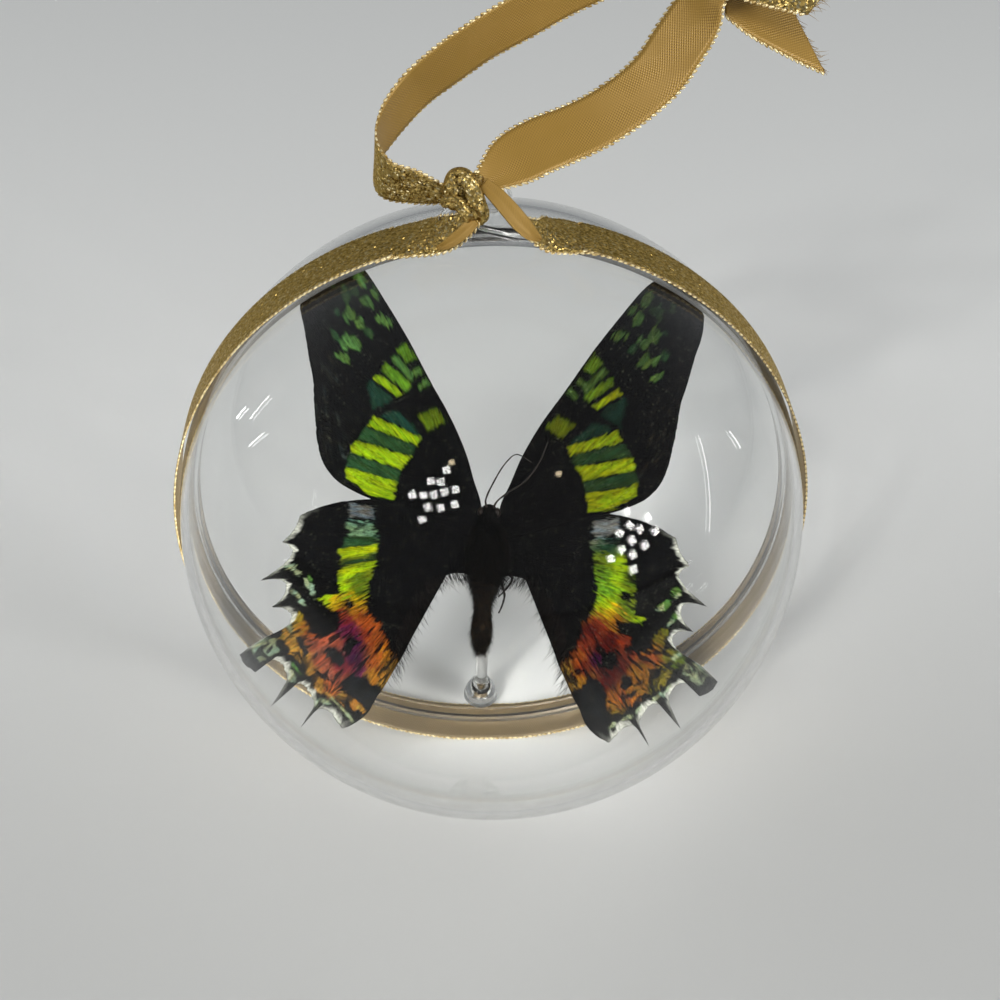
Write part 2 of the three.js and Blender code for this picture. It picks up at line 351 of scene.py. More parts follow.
def glitterFinish():
    # flakes: every small cell leans its own way, so each catches another light
    material, shader, place, lay, _ = newMaterial(
        "goldGlitter", Specular_IOR_Level=0.25, Specular_Tint=(0.9, 0.7, 0.36, 1))
    flakes = place.cells(3600)
    tilt = flakes.node("ShaderNodeVectorMath", {"operation": "SUBTRACT"}, {0: flakes, 1: (0.5, 0.5, 0.5)})
    straight = flakes.node("ShaderNodeNewGeometry", None, None, "Normal")
    leaning = flakes.node("ShaderNodeVectorMath", {"operation": "MULTIPLY_ADD"},
                          {0: tilt, 1: (1.15, 1.15, 1.15), 2: straight})
    normal = flakes.node("ShaderNodeVectorMath", {"operation": "NORMALIZE"}, {0: leaning})
    chance = flakes.part("Y")
    weave = lay.stretched((0.9, 1.4, 1)).noise(1.4, 3)
    gold = chance.ranged(0.8, 0.86).mix(chance.mix((0.33, 0.23, 0.065), (0.66, 0.5, 0.19)), (0.98, 0.86, 0.52))
    feed(shader, Base_Color=weave.ranged(0.3, 0.75).mix(gold, (0.22, 0.145, 0.04)), Normal=normal,
         Metallic=chance.ranged(0.1, 0.5, 0.45, 0.95), Roughness=0.24 + flakes.part("Z") * 0.28)
    return material


def satinFinish(name, dark, light, clouded):
    # twill: slanting threads, plainer here and there, with broad soft sheen along the ribbon
    material, shader, _, lay, _ = newMaterial(
        name, Specular_IOR_Level=0.5, Sheen_Weight=0.12, Sheen_Roughness=0.4, Sheen_Tint=(0.95, 0.7, 0.3, 1))
    threads = (lay.part("X") * 10.5 + lay.part("Y") * 13).sine() * 0.5 + 0.5
    picks = (lay.part("X") * 16 - lay.part("Y") * 6).sine() * 0.5 + 0.5
    plain = lay.stretched((0.13, 0.3, 1)).noise(1.0, 2).ranged(0.35, 0.65, 0.3, 1.0)
    weave = 0.5 + (threads * 0.6 + picks * 0.4 - 0.5) * plain
    cloud = lay.stretched((0.25, 0.5, 1)).noise(1.0, 3)
    feed(shader, Base_Color=(cloud.ranged(0.3, 0.7) * 0.35).mix(weave.mix(dark, light), clouded),
         Roughness=0.36 + picks * 0.16, Metallic=0.12 + threads * 0.18, Normal=weave.bump(0.00007, 0.7))
    return material


def edgeThreadFinish():
    material, shader, place, *_ = newMaterial("goldEdgeThread", Specular_IOR_Level=0.6)
    strands = place.noise(1500, 2)
    feed(shader, Base_Color=strands.ranged(0.3, 0.7).mix((0.4, 0.26, 0.07), (0.97, 0.84, 0.5)),
         Metallic=0.2 + strands * 0.4, Roughness=0.22 + strands * 0.25, Normal=strands.bump(0.00006, 0.7))
    return material


def floorFinish():
    # pale round the object and falling into shade well before it
    material, shader, place, *_ = newMaterial("paleFloor", Specular_IOR_Level=0.15)
    cloud = place.noise(3, 3)
    depth = place.part("Y")
    pale = (depth.ranged(-0.06, 0.15) + cloud * 0.1).mix((0.59, 0.6, 0.595), (0.86, 0.875, 0.87))
    feed(shader, Base_Color=depth.ranged(-0.2, -0.085).mix((0.16, 0.162, 0.162), pale),
         Roughness=0.7 + cloud * 0.15)
    return material


clearPlastic, clearGlue = clearPlasticFinish(), glueFinish()
wingScales, bodyFur, darkChitin = wingFinish(), furFinish(), chitinFinish()
goldGlitter, goldEdge = glitterFinish(), edgeThreadFinish()
goldSatin = satinFinish("goldSatin", (0.16, 0.078, 0.01), (0.52, 0.325, 0.068), (0.32, 0.19, 0.032))
# the band's inner face: the same satin, darker and duller as painted shade
goldSatinInShade = satinFinish("goldSatinInShade", (0.1, 0.066, 0.028), (0.26, 0.193, 0.098), (0.17, 0.124, 0.058))
ribbonLooks = [goldGlitter, goldSatin, goldEdge, goldSatinInShade]
print("finishes made")


# Camera, floor and light

view = dict(lens=54.0, sensor=36.0, place=(-8.52, -195.10, 148.77), roll=0.8, shift=(0.0086, 0.0082))


def addCamera():
    data = bpy.data.cameras.new("photoCamera")
    data.lens, data.sensor_width = view["lens"], view["sensor"]
    data.shift_x, data.shift_y = view["shift"]
    data.clip_start, data.clip_end = 0.01, 20
    back = unit(np.array(view["place"]))
    right = unit(np.cross([0, 0, 1], back))
    up = np.cross(back, right)
    roll = np.radians(view["roll"])
    right, up = right * np.cos(roll) + up * np.sin(roll), up * np.cos(roll) - right * np.sin(roll)
    camera = bpy.data.objects.new("photoCamera", data)
    turn = Matrix(np.stack([right, up, back], -1).tolist()).to_4x4()
    camera.matrix_world = Matrix.Translation(((np.array(view["place"]) + ballCentre) * mm).tolist()) @ turn
    bpy.context.scene.collection.objects.link(camera)
    bpy.context.scene.camera = camera


stage = dict(floorHalf=3.0, world=(0.92, 0.96, 1.0), worldStrength=0.24)
softbox = dict(place=(-1.25, 1.5, 2.2), size=5.4, power=6.0, colour=(1.0, 0.985, 0.96))  # metres from the ball
panels = dict(size=0.064, power=0.97, distance=1.5, colour=(1.0, 0.985, 0.96),
              clusters=[(-27.4, 38.9), (48.2, 15.3)],  # bearing and height in degrees, seen from the ball
              spots=[(0, 0), (4.2, 1.8), (-4.4, -1.2), (1.2, 4.6), (-1.0, -4.4), (8.6, 3.4), (-9.0, -2.4),
                     (-3.4, 4.0), (2.2, 9.0), (-2.2, -8.8), (4.0, -3.6), (9.4, -1.4)])
bulbs = dict(size=0.05, power=0.3, distance=1.5, colour=(1.0, 0.78, 0.5), places=[(-24.0, 50.7), (30.0, 45.0)])
strips = dict(width=0.014, radiance=26.0, distance=1.5, colour=(1.0, 1.0, 1.0), ends=[
    ((92.6, 21.5), (76.8, 1.5)), ((104.5, 10.5), (104.5, 5.0)), ((-113.7, 16.5), (-113.2, 8.5)),
    ((-103.9, 13.5), (-106.3, 6.5)), ((-118.5, 6.5), (-119.0, 2.0))])


def towards(bearing, height, distance):
    az, el = np.radians([bearing, height])
    return distance * np.array([np.sin(az) * np.cos(el), -np.cos(az) * np.cos(el), np.sin(el)])


def addLamp(name, place, size, power, colour, lie=None, width=None):
    # a square lamp, or with lie and width a strip that lies along a direction; all face the ball
    data = bpy.data.lights.new(name, "AREA")
    data.size, data.energy, data.color = size, power, colour
    if width:
        data.shape, data.size_y = "RECTANGLE", width
    lamp = bpy.data.objects.new(name, data)
    back = unit(np.array(place))
    right = unit(np.cross([0.01, 1, 0.02], back)) if lie is None else unit(lie - back * (lie @ back))
    turn = Matrix(np.stack([right, np.cross(back, right), back], -1).tolist()).to_4x4()
    lamp.matrix_world = Matrix.Translation((np.array(place) + ballCentre * mm).tolist()) @ turn
    bpy.context.scene.collection.objects.link(lamp)


def addStage():
    mesh = bpy.data.meshes.new("floor")
    h = stage["floorHalf"]
    mesh.from_pydata([(-h, -h, 0), (h, -h, 0), (h, h, 0), (-h, h, 0)], [], [(0, 1, 2, 3)])
    mesh.materials.append(floorFinish())
    floor = bpy.data.objects.new("floor", mesh)
    bpy.context.scene.collection.objects.link(floor)
    world = bpy.data.worlds.new("studio")
    bpy.context.scene.world = world
    world.use_nodes = True
    world.node_tree.nodes["Background"].inputs["Color"].default_value = (*stage["world"], 1)
    world.node_tree.nodes["Background"].inputs["Strength"].default_value = stage["worldStrength"]
    addLamp("backSoftbox", **softbox)
    for cluster, (bearing, height) in enumerate(panels["clusters"]):
        for number, (across, up) in enumerate(panels["spots"]):
            place = towards(bearing + across, height + up, panels["distance"])
            addLamp(f"panel{cluster}{number}", place, panels["size"], panels["power"], panels["colour"])
    for number, (bearing, height) in enumerate(bulbs["places"]):
        place = towards(bearing, height, bulbs["distance"])
        addLamp(f"bulb{number}", place, bulbs["size"], bulbs["power"], bulbs["colour"])
    for number, ends in enumerate(strips["ends"]):
        first, last = [towards(*end, strips["distance"]) for end in ends]
        long = np.linalg.norm(last - first)
        power = strips["radiance"] * np.pi * long * strips["width"]
        addLamp(f"strip{number}", (first + last) / 2, long, power, strips["colour"],
                last - first, strips["width"])


addCamera()
addStage()
bpy.context.scene.view_settings.view_transform = "Standard"
print("camera, floor and lights set")


# Ball halves with their moulded eyelets

eyelet = dict(hole=1.7, rim=1.15, thickness=1.85, saddleHalf=8.4, flare=0.2, sink=0.65, edge=0.6, gap=0.2)
frontEye, backEye = dict(x=-5.4, height=1.9), dict(x=-0.4, height=4.4)


def quarterArc(radius, side, rimY, steps):
    # radius and height from the pole to the rim
    angle = np.linspace(np.pi / 2, np.arcsin(rimY / radius), steps)
    across = radius * np.cos(angle)
    across[0] = 0
    return np.stack([across, side * radius * np.sin(angle)], -1)


def shellProfile(side):
    outer = ball["radius"]
    inner = outer - ball["wall"]
    if side < 0:
        return np.concatenate([quarterArc(outer, side, ball["seam"], ball["arcSteps"]),
                               quarterArc(inner, side, ball["seam"], ball["arcSteps"])[::-1]])
    lipOuter = inner - ball["lipGap"]
    lipInner = lipOuter - ball["lipThickness"]
    lip = [[lipOuter, ball["seam"]], [lipOuter, -ball["lipReach"]], [lipInner, -ball["lipReach"]],
           [lipInner, ball["lipRoot"]]]
    return np.concatenate([quarterArc(outer, side, ball["seam"], ball["arcSteps"]), lip,
                           quarterArc(inner, side, ball["lipRoot"], ball["arcSteps"])[::-1]])


def eyeletSurface(eye, fromY, toY):
    # a ring whose outer edge flares down into a saddle; the section between hole and edge is carried round
    ringRadius = eyelet["hole"] + eyelet["rim"]
    ringZ = ball["radius"] + eye["height"]
    foot = ball["radius"] - eyelet["sink"]
    half = np.arcsin(eyelet["saddleHalf"] / foot)
    x0 = eye["x"]
    arch = np.linspace(0, np.pi, 60)
    over = np.stack([x0 + ringRadius * np.cos(arch), ringZ + ringRadius * np.sin(arch)], -1)
    s = np.linspace(0, 1, 50)[1:-1, None]

    def flank(side):
        start = np.array([x0 + side * ringRadius, ringZ])
        bend = np.array([x0 + side * ringRadius, ball["radius"] + eyelet["flare"]])
        end = foot * np.array([side * np.sin(half), np.cos(half)])
        return (1 - s) ** 2 * start + 2 * s * (1 - s) * bend + s**2 * end

    under = np.linspace(-half, half, 60)
    base = foot * np.stack([np.sin(under), np.cos(under)], -1)
    edge = np.concatenate([over, flank(-1), base, flank(1)[::-1]])
    middle = np.array([x0, ringZ])
    inward = unit(edge - middle) * eyelet["hole"] + middle
    r = eyelet["edge"]
    away = unit(edge - inward)
    # section: front face, rounded outer edge, back face, rounded hole edge
    depth = toY - fromY
    bend = np.linspace(0, np.pi / 2, 6)
    step, drop = (1 - np.sin(bend)) * r, (1 - np.cos(bend)) * r
    outer = [(edge - away * a, b) for a, b in zip(step, drop)]
    inner = [(inward + away * a, b) for a, b in zip(step, drop)]
    rows = (outer + [(flat, depth - y) for flat, y in outer[::-1]] + [(flat, depth - y) for flat, y in inner]
            + inner[::-1])
    points = np.stack([np.stack([flat[:, 0], np.full(len(flat), fromY + y), flat[:, 1]], -1)
                       for flat, y in rows])
    return surface(points, wrapRows=True, wrapCols=True)


def united(first, second):
    # the outer skin of two closed meshes that run into each other
    ends = [bpy.data.objects.new("union", mesh) for mesh in (first, second)]
    for end in ends:
        bpy.context.scene.collection.objects.link(end)
    cut = ends[0].modifiers.new("union", "BOOLEAN")
    cut.operation, cut.object, cut.solver = "UNION", ends[1], "EXACT"
    whole = bpy.data.meshes.new_from_object(ends[0].evaluated_get(bpy.context.evaluated_depsgraph_get()))
    for end in ends:
        bpy.data.objects.remove(end)
    whole.polygons.foreach_set("use_smooth", np.ones(len(whole.polygons), bool))
    return whole


def dullEdges(mesh):
    # darkens the tint on the eyelet and the wall under it, and on the lip, which lies inside the ball
    flat = np.empty(len(mesh.vertices) * 3, np.float32)
    mesh.vertices.foreach_get("co", flat)
    points = flat.reshape(-1, 3) / mm - ballCentre
    onEye = np.abs(points[:, 0]) < eyelet["saddleHalf"] + 0.6
    onEye &= (np.abs(points[:, 1]) < eyelet["thickness"] + 0.4) & (points[:, 2] > 0.9 * ball["radius"])
    onLip = np.hypot(points[:, 0], points[:, 2]) < ball["radius"] - ball["wall"] - 0.5 * ball["lipGap"]
    onLip &= np.abs(points[:, 1]) < ball["lipRoot"] + 0.01
    polish = np.repeat(np.where(onEye | onLip, 0.0, 1.0), 4)
    mesh.attributes["tint"].data.foreach_set("color", polish.astype(np.float32))


def addShell(name, side, eye, fromY, toY):
    body = makeMesh(name, [surface(turned(shellProfile(side), ball["turns"]), wrapCols=True)])
    tab = makeMesh(name + "Eye", [eyeletSurface(eye, fromY, toY)])
    whole = united(body, tab)
    whole.set_sharp_from_angle(angle=np.radians(35))
    dullEdges(whole)
    addPiece(name, whole, [clearPlastic], "clear_plastic", name).visible_shadow = False


addShell("front_shell", -1, frontEye, -eyelet["thickness"] - eyelet["gap"], -eyelet["gap"])
addShell("back_shell", 1, backEye, eyelet["gap"], eyelet["thickness"] + eyelet["gap"])
print("ball halves made")


# Rod and glue bead

rod = dict(radius=1.1, foot=(-1.3, 5.5, -47.75), top=(-0.9, -3.2, -5.6), round=0.35, dull=6.0, rows=24)
bead = dict(radius=3.1, gap=0.06, sink=0.2, height=5.2, clear=0.05)


def alongAxis(profile, foot, top, turns):
    # a (radius, distance) profile turned about the line from foot to top
    foot, top = np.array(foot), np.array(top)
    ahead = unit(top - foot)
    side = unit(np.cross(ahead, [0, 1, 0.1]))
    other = np.cross(ahead, side)
    angle = np.linspace(0, 2 * np.pi, turns, endpoint=False)
    ring = side * np.cos(angle)[:, None] + other * np.sin(angle)[:, None]
    return foot + ahead * profile[:, 1][:, None, None] + ring[None] * profile[:, 0][:, None, None]


def addRod():
    length = np.linalg.norm(np.array(rod["top"]) - np.array(rod["foot"]))
    r, e = rod["radius"], rod["round"]
    bend = np.linspace(0, np.pi / 2, 7)
    end = np.stack([r - e + e * np.sin(bend), length - e + e * np.cos(bend)], -1)
    side = np.stack([np.full(rod["rows"], r), np.linspace(length - e, e, rod["rows"])], -1)
    profile = np.concatenate([[[0, length]], end, side, [[r - e, 0], [0, 0]]])
    shape = alongAxis(profile, rod["foot"], rod["top"], 40)
    polish = np.broadcast_to(np.where(profile[:, 1] < rod["dull"], 0.0, 1.0)[:, None, None], shape.shape)
    piece = makeMesh("support_rod", [surface(shape, wrapCols=True, tint=polish)])
    addPiece("support_rod", piece, [clearPlastic], "clear_plastic", "support_rod")


def addBead():
    # a drop that sits on the ball's inside: its underside follows the ball, its top draws up the rod
    hole, low = rod["radius"] + bead["gap"], -bead["sink"]
    s = np.linspace(0, 1, 40)
    outside = np.stack([hole + (bead["radius"] - rod["radius"]) * np.sin(np.pi * (0.5 + 0.5 * s)) ** 0.8,
                        low + bead["height"] * s**1.25], -1)
    outside[-1, 0] = hole
    inside = np.stack([np.full(12, hole), np.linspace(outside[-1, 1], low, 12)], -1)
    profile = np.concatenate([outside, inside[1:]])
    points = alongAxis(profile, rod["foot"], rod["top"], 56)
    far = np.linalg.norm(points, axis=-1, keepdims=True)
    most = ball["radius"] - ball["wall"] - bead["clear"]
    points = np.where(far > most, points * most / far, points)
    piece = makeMesh("glue_bead", [surface(points, wrapRows=True, wrapCols=True)])
    addPiece("glue_bead", piece, [clearGlue], "glue", "glue_bead")


addRod()
addBead()
print("rod and bead made")


# Moth: its own frame has X to the right, Y to the head, Z off the wings towards the front

moth = dict(place=(-0.6, -6.25, 0.0), lean=33.0, turn=4.2, seed=20)
rng = np.random.default_rng(moth["seed"])


def fromMoth(points):
    lean, turn = np.radians(90 - moth["lean"]), np.radians(-moth["turn"])
    spin = np.array([[np.cos(turn), -np.sin(turn), 0], [np.sin(turn), np.cos(turn), 0], [0, 0, 1]])
    tip = np.array([[1, 0, 0], [0, np.cos(lean), -np.sin(lean)], [0, np.sin(lean), np.cos(lean)]])
    return points @ (tip @ spin).T + np.array(moth["place"])


def ripple(across, along, counts, seed):
    # smooth random heights from -1 to 1 on a loose grid of counts, read at across and along from 0 to 1
    heights = np.random.default_rng(seed).uniform(-1, 1, (counts[0] + 2, counts[1] + 2))
    x, y = np.clip(across, 0, 1) * counts[0], np.clip(along, 0, 1) * counts[1]
    i, j = x.astype(int), y.astype(int)
    u, v = ease(0, 1, x - i), ease(0, 1, y - j)
    return ((heights[i, j] * (1 - v) + heights[i, j + 1] * v) * (1 - u)
            + (heights[i + 1, j] * (1 - v) + heights[i + 1, j + 1] * v) * u)


def depthInside(x, y, corners):
    # distance to the nearest side of a polygon, positive inside it
    corners = np.asarray(corners, float)
    ends = np.roll(corners, -1, axis=0)
    far = np.full(x.shape, 1e9)
    inside = np.zeros(x.shape, bool)
    for (ax, ay), (bx, by) in zip(corners, ends):
        dx, dy = bx - ax, by - ay
        s = np.clip(((x - ax) * dx + (y - ay) * dy) / (dx * dx + dy * dy), 0, 1)
        far = np.minimum(far, np.hypot(x - ax - s * dx, y - ay - s * dy))
        crosses = ((ay > y) != (by > y)) & (x < ax + (y - ay) * dx / np.where(dy == 0, 1e-9, dy))
        inside ^= crosses
    return np.where(inside, far, -far)


wingColours = dict(
    black=(5, 5, 5), soot=(11, 10, 9), lime=(162, 198, 12), grass=(104, 150, 28), moss=(46, 80, 40),
    teal=(30, 66, 48), mint=(122, 164, 126), olive=(104, 128, 16), spring=(194, 222, 8), yellow=(206, 172, 12),
    amber=(200, 132, 22), orange=(190, 92, 28), rust=(152, 54, 26), maroon=(104, 24, 16), crimson=(136, 36, 46),
    magenta=(116, 28, 66), plum=(66, 16, 56), salmon=(180, 94, 64), gold=(204, 152, 50), pale=(172, 190, 144),
    chalk=(172, 174, 164), ash=(116, 120, 114), slate=(30, 32, 32), fern=(88, 130, 56), mustard=(150, 140, 20),
    dust=(48, 52, 44))
wingColours = {name: linear(*shown) for name, shown in wingColours.items()}

# Stripes and patches of the forewing, right side: colour, raggedness, corners
forewingPatches = [
    ("moss", 0.3, [(15.0, 7.0), (14.6, 9.1), (22.8, 11.3), (23.5, 9.1)]),
    ("moss", 0.3, [(13.1, 11.3), (12.3, 13.1), (20.6, 15.7), (22.0, 13.4)]),
    ("teal", 0.4, [(12.0, 14.2), (12.3, 15.4), (15.4, 18.4), (17.5, 18.2), (18.4, 17.4)]),
    ("teal", 0.5, [(20.7, 22.3), (20.0, 23.1), (16.7, 20.5), (17.1, 19.4), (18.9, 18.7), (19.8, 18.1)]),
    ("lime", 0.35, [(15.6, 4.0), (15.0, 7.0), (23.4, 9.1), (23.2, 7.3), (19.8, 4.8)]),
    ("lime", 0.3, [(14.6, 9.1), (13.1, 11.3), (22.3, 13.4), (22.9, 11.3)]),
    ("lime", 0.3, [(12.3, 13.1), (11.7, 14.4), (19.4, 17.4), (20.4, 15.7)]),
    ("olive", 0.5, [(12.9, 17.8), (9.8, 19.2), (7.7, 17.3), (10.7, 15.5)]),
    ("lime", 0.25, [(16.1, 20.6), (14.9, 21.1), (19.0, 24.1), (19.9, 23.2)]),
    ("grass", 0.35, [(14.6, 21.6), (13.6, 22.3), (13.9, 23.1), (17.9, 25.8), (18.6, 24.5)]),
    ("fern", 0.3, [(13.9, 22.9), (13.4, 24.0), (16.4, 27.3), (17.3, 26.6)]),
    ("grass", 0.35, [(16.5, 27.9), (15.0, 29.3), (13.2, 26.8), (14.8, 26.1)]),
    ("fern", 0.35, [(14.3, 24.6), (12.7, 25.6), (12.1, 24.6), (13.8, 23.9)]),
    ("fern", 0.35, [(12.9, 22.4), (11.6, 23.9), (10.8, 22.9), (12.5, 21.8)]),
]
forewingSpots = [  # colour, x, y, long half, short half, turn in degrees
    ("fern", 22.9, 38.6, 1.2, 0.7, 60), ("moss", 23.6, 36.9, 0.9, 0.8, 80), ("moss", 24.9, 36.4, 1.2, 0.6, 75),
    ("fern", 21.6, 35.2, 1.1, 0.8, 60), ("fern", 20.5, 36.6, 0.9, 0.5, 60), ("fern", 24.2, 32.9, 1.1, 0.9, 60),
    ("fern", 22.7, 31.6, 0.9, 0.8, 60), ("fern", 18.6, 32.4, 1.1, 0.7, 30), ("moss", 21.0, 30.4, 0.7, 0.5, 40),
    ("moss", 26.2, 29.6, 1.0, 0.6, 70), ("fern", 23.2, 28.6, 1.1, 0.9, 55), ("fern", 24.6, 28.8, 0.9, 0.6, 80),
    ("fern", 25.0, 26.3, 1.1, 0.5, 25), ("moss", 26.2, 33.2, 0.8, 0.5, 80), ("moss", 27.0, 37.6, 0.7, 0.4, 80),
    ("soot", 24.2, 21.8, 1.4, 0.4, 80), ("dust", 25.0, 16.6, 0.8, 0.16, 70),
    ("dust", 24.6, 12.4, 0.6, 0.16, 60), ("dust", 26.9, 17.6, 0.5, 0.14, 80),
    ("dust", 23.8, 10.7, 0.6, 0.16, 60), ("dust", 27.4, 21.0, 0.5, 0.14, 80),
    ("dust", 25.6, 22.6, 0.6, 0.14, 80), ("dust", 26.3, 13.4, 0.6, 0.14, 50),
    ("dust", 28.0, 28.4, 0.5, 0.14, 20),
]

# Colour of the hindwings under their black: dabs that run into each other: colour, x, y
hindwingLeft = dict(
    dabs=[
        ("mint", 20.8, 0.2), ("mint", 20.6, -1.6), ("moss", 20.6, -3.0), ("olive", 20.6, -5.2),
        ("olive", 20.6, -8.6), ("olive", 19.2, -9.6), ("lime", 22.6, -10.6), ("olive", 20.4, -11.0),
        ("yellow", 20.6, -12.2), ("lime", 25.6, -12.2), ("yellow", 24.0, -12.9), ("amber", 20.6, -14.0),
        ("orange", 19.6, -15.0), ("orange", 18.0, -16.0), ("crimson", 21.6, -15.8), ("rust", 22.6, -14.8),
        ("magenta", 22.8, -17.0), ("magenta", 20.8, -17.4), ("plum", 19.9, -19.4), ("plum", 20.2, -22.0),
        ("magenta", 19.0, -24.0), ("crimson", 22.3, -23.6), ("rust", 18.6, -18.0), ("orange", 17.0, -18.6),
        ("orange", 17.4, -22.6), ("amber", 15.6, -20.6), ("orange", 16.4, -20.6), ("gold", 14.4, -23.0),
        ("gold", 15.6, -25.8), ("amber", 17.2, -24.6), ("salmon", 24.2, -18.8), ("salmon", 26.6, -19.4),
        ("salmon", 26.2, -22.4), ("salmon", 24.2, -24.8), ("salmon", 22.4, -25.4), ("orange", 27.6, -18.0),
        ("amber", 28.4, -16.6), ("yellow", 29.6, -15.8), ("gold", 28.2, -22.6), ("gold", 31.2, -19.6),
        ("yellow", 32.2, -18.6), ("gold", 27.6, -24.2), ("amber", 25.8, -26.4), ("orange", 24.2, -27.2),
        ("gold", 22.0, -28.4), ("amber", 19.4, -29.4)],
    field=[
        (23.0, 0.3), (18.4, 0.7), (18.0, -1.6), (17.6, -3.0), (18.0, -7.0), (18.5, -9.4), (18.9, -11.9),
        (19.1, -13.4), (17.4, -15.4), (15.4, -18.4), (13.5, -21.9), (13.4, -23.0), (15.2, -26.6), (17.6, -25.6),
        (18.4, -24.8), (20.6, -25.2), (22.4, -26.8), (20.6, -28.4), (18.4, -29.0), (18.6, -30.4), (21.6, -29.6),
        (24.2, -28.5), (26.6, -26.5), (28.0, -24.5), (29.2, -22.6), (31.1, -20.8), (32.6, -19.0), (31.6, -17.9),
        (30.6, -18.6), (30.2, -15.2), (29.6, -14.8), (28.2, -16.2), (27.4, -18.3), (25.2, -18.3), (23.5, -17.2),
        (23.0, -14.6), (25.0, -13.7), (26.6, -12.8), (25.7, -11.2), (24.6, -11.6), (23.3, -11.4), (23.8, -8.2),
        (22.9, -6.2), (24.0, -4.5), (22.2, -2.7)],
    patches=[
        ("ash", 0.4, [(22.6, 3.4), (18.6, 2.6), (18.6, 0.9), (22.4, 0.9)]),
        ("moss", 0.3, [(23.0, -2.2), (18.2, -1.8), (17.7, -3.2), (23.4, -4.2)]),
        ("spring", 0.3, [(24.0, -4.4), (17.6, -3.0), (17.7, -4.3), (23.0, -5.7)]),
        ("spring", 0.3, [(23.8, -7.7), (17.8, -5.7), (17.9, -6.8), (22.8, -8.9)]),
        ("moss", 0.3, [(22.7, -6.3), (18.0, -5.0), (18.0, -5.5), (23.2, -6.9)]),
        ("slate", 0.45, [(25.6, -20.8), (23.7, -19.7), (21.9, -21.6), (22.2, -23.9), (24.0, -22.4)]),
        ("slate", 0.3, [(30.1, -18.8), (29.0, -18.5), (27.8, -21.3), (28.4, -22.0)]),
        ("slate", 0.5, [(22.5, -25.8), (20.5, -24.3), (18.2, -25.0), (17.4, -26.4), (15.8, -27.1),
                        (17.9, -30.1), (19.7, -28.3)]),
        ("slate", 0.3, [(27.3, -23.6), (25.5, -24.3), (23.3, -25.9), (24.9, -25.7)]),
        ("pale", 0.4, [(37.4, -21.0), (35.3, -19.6), (33.2, -19.2), (32.6, -21.5), (34.6, -22.7), (35.6, -23.6)]),
        ("slate", 0.25, [(38.9, -22.5), (36.6, -22.2), (35.4, -23.8), (36.2, -25.6), (38.6, -24.2)])],
    spots=[
        ("black", 21.6, -12.9, 0.7, 0.6, 0), ("black", 21.2, -19.5, 1.35, 0.85, 110),
        ("black", 24.9, -15.8, 1.7, 1.5, 30), ("black", 27.0, -15.0, 1.9, 1.0, 140),
        ("pale", 30.5, -8.2, 0.9, 0.35, 40), ("pale", 31.3, -7.4, 0.8, 0.3, 160),
        ("pale", 28.6, -10.0, 0.8, 0.3, 70), ("pale", 27.8, -11.1, 0.9, 0.35, 70),
        ("pale", 29.7, -12.4, 0.9, 0.3, 50), ("pale", 30.6, -11.6, 0.5, 0.25, 20),
        ("pale", 29.4, -13.2, 0.5, 0.2, 30), ("fern", 28.2, -9.2, 0.6, 0.3, 70),
        ("gold", 31.6, -18.2, 0.9, 0.35, 60), ("pale", 31.0, -17.4, 0.8, 0.3, 60),
        ("gold", 30.6, -20.4, 0.9, 0.35, 50), ("gold", 26.0, -27.1, 1.0, 0.25, 35),
        ("gold", 24.2, -27.9, 0.9, 0.22, 35), ("pale", 23.0, -29.1, 0.9, 0.22, 40),
        ("pale", 21.8, -30.3, 1.1, 0.25, 45), ("pale", 20.7, -31.4, 1.0, 0.22, 50),
        ("gold", 19.4, -29.7, 0.9, 0.3, 30), ("pale", 24.7, -29.1, 0.8, 0.3, 20),
        ("pale", 22.4, -32.3, 0.7, 0.3, 60), ("pale", 26.4, -29.2, 0.7, 0.35, 60),
        ("pale", 30.6, -24.5, 1.1, 0.4, 50), ("pale", 30.3, -25.8, 0.7, 0.35, 20),
        ("fern", 29.6, -24.0, 1.0, 0.25, 45), ("slate", 34.0, -21.0, 0.9, 0.18, 120),
        ("slate", 35.4, -21.0, 0.6, 0.15, 100), ("slate", 34.4, -20.0, 0.5, 0.15, 60),
        ("slate", 26.6, -21.6, 0.5, 0.2, 120), ("slate", 29.4, -23.2, 0.6, 0.2, 45),
        ("black", 16.4, -20.0, 1.1, 0.14, 120), ("black", 17.4, -21.2, 1.3, 0.14, 120),
        ("black", 16.3, -23.0, 1.1, 0.12, 120), ("black", 18.1, -17.2, 0.9, 0.12, 120)])
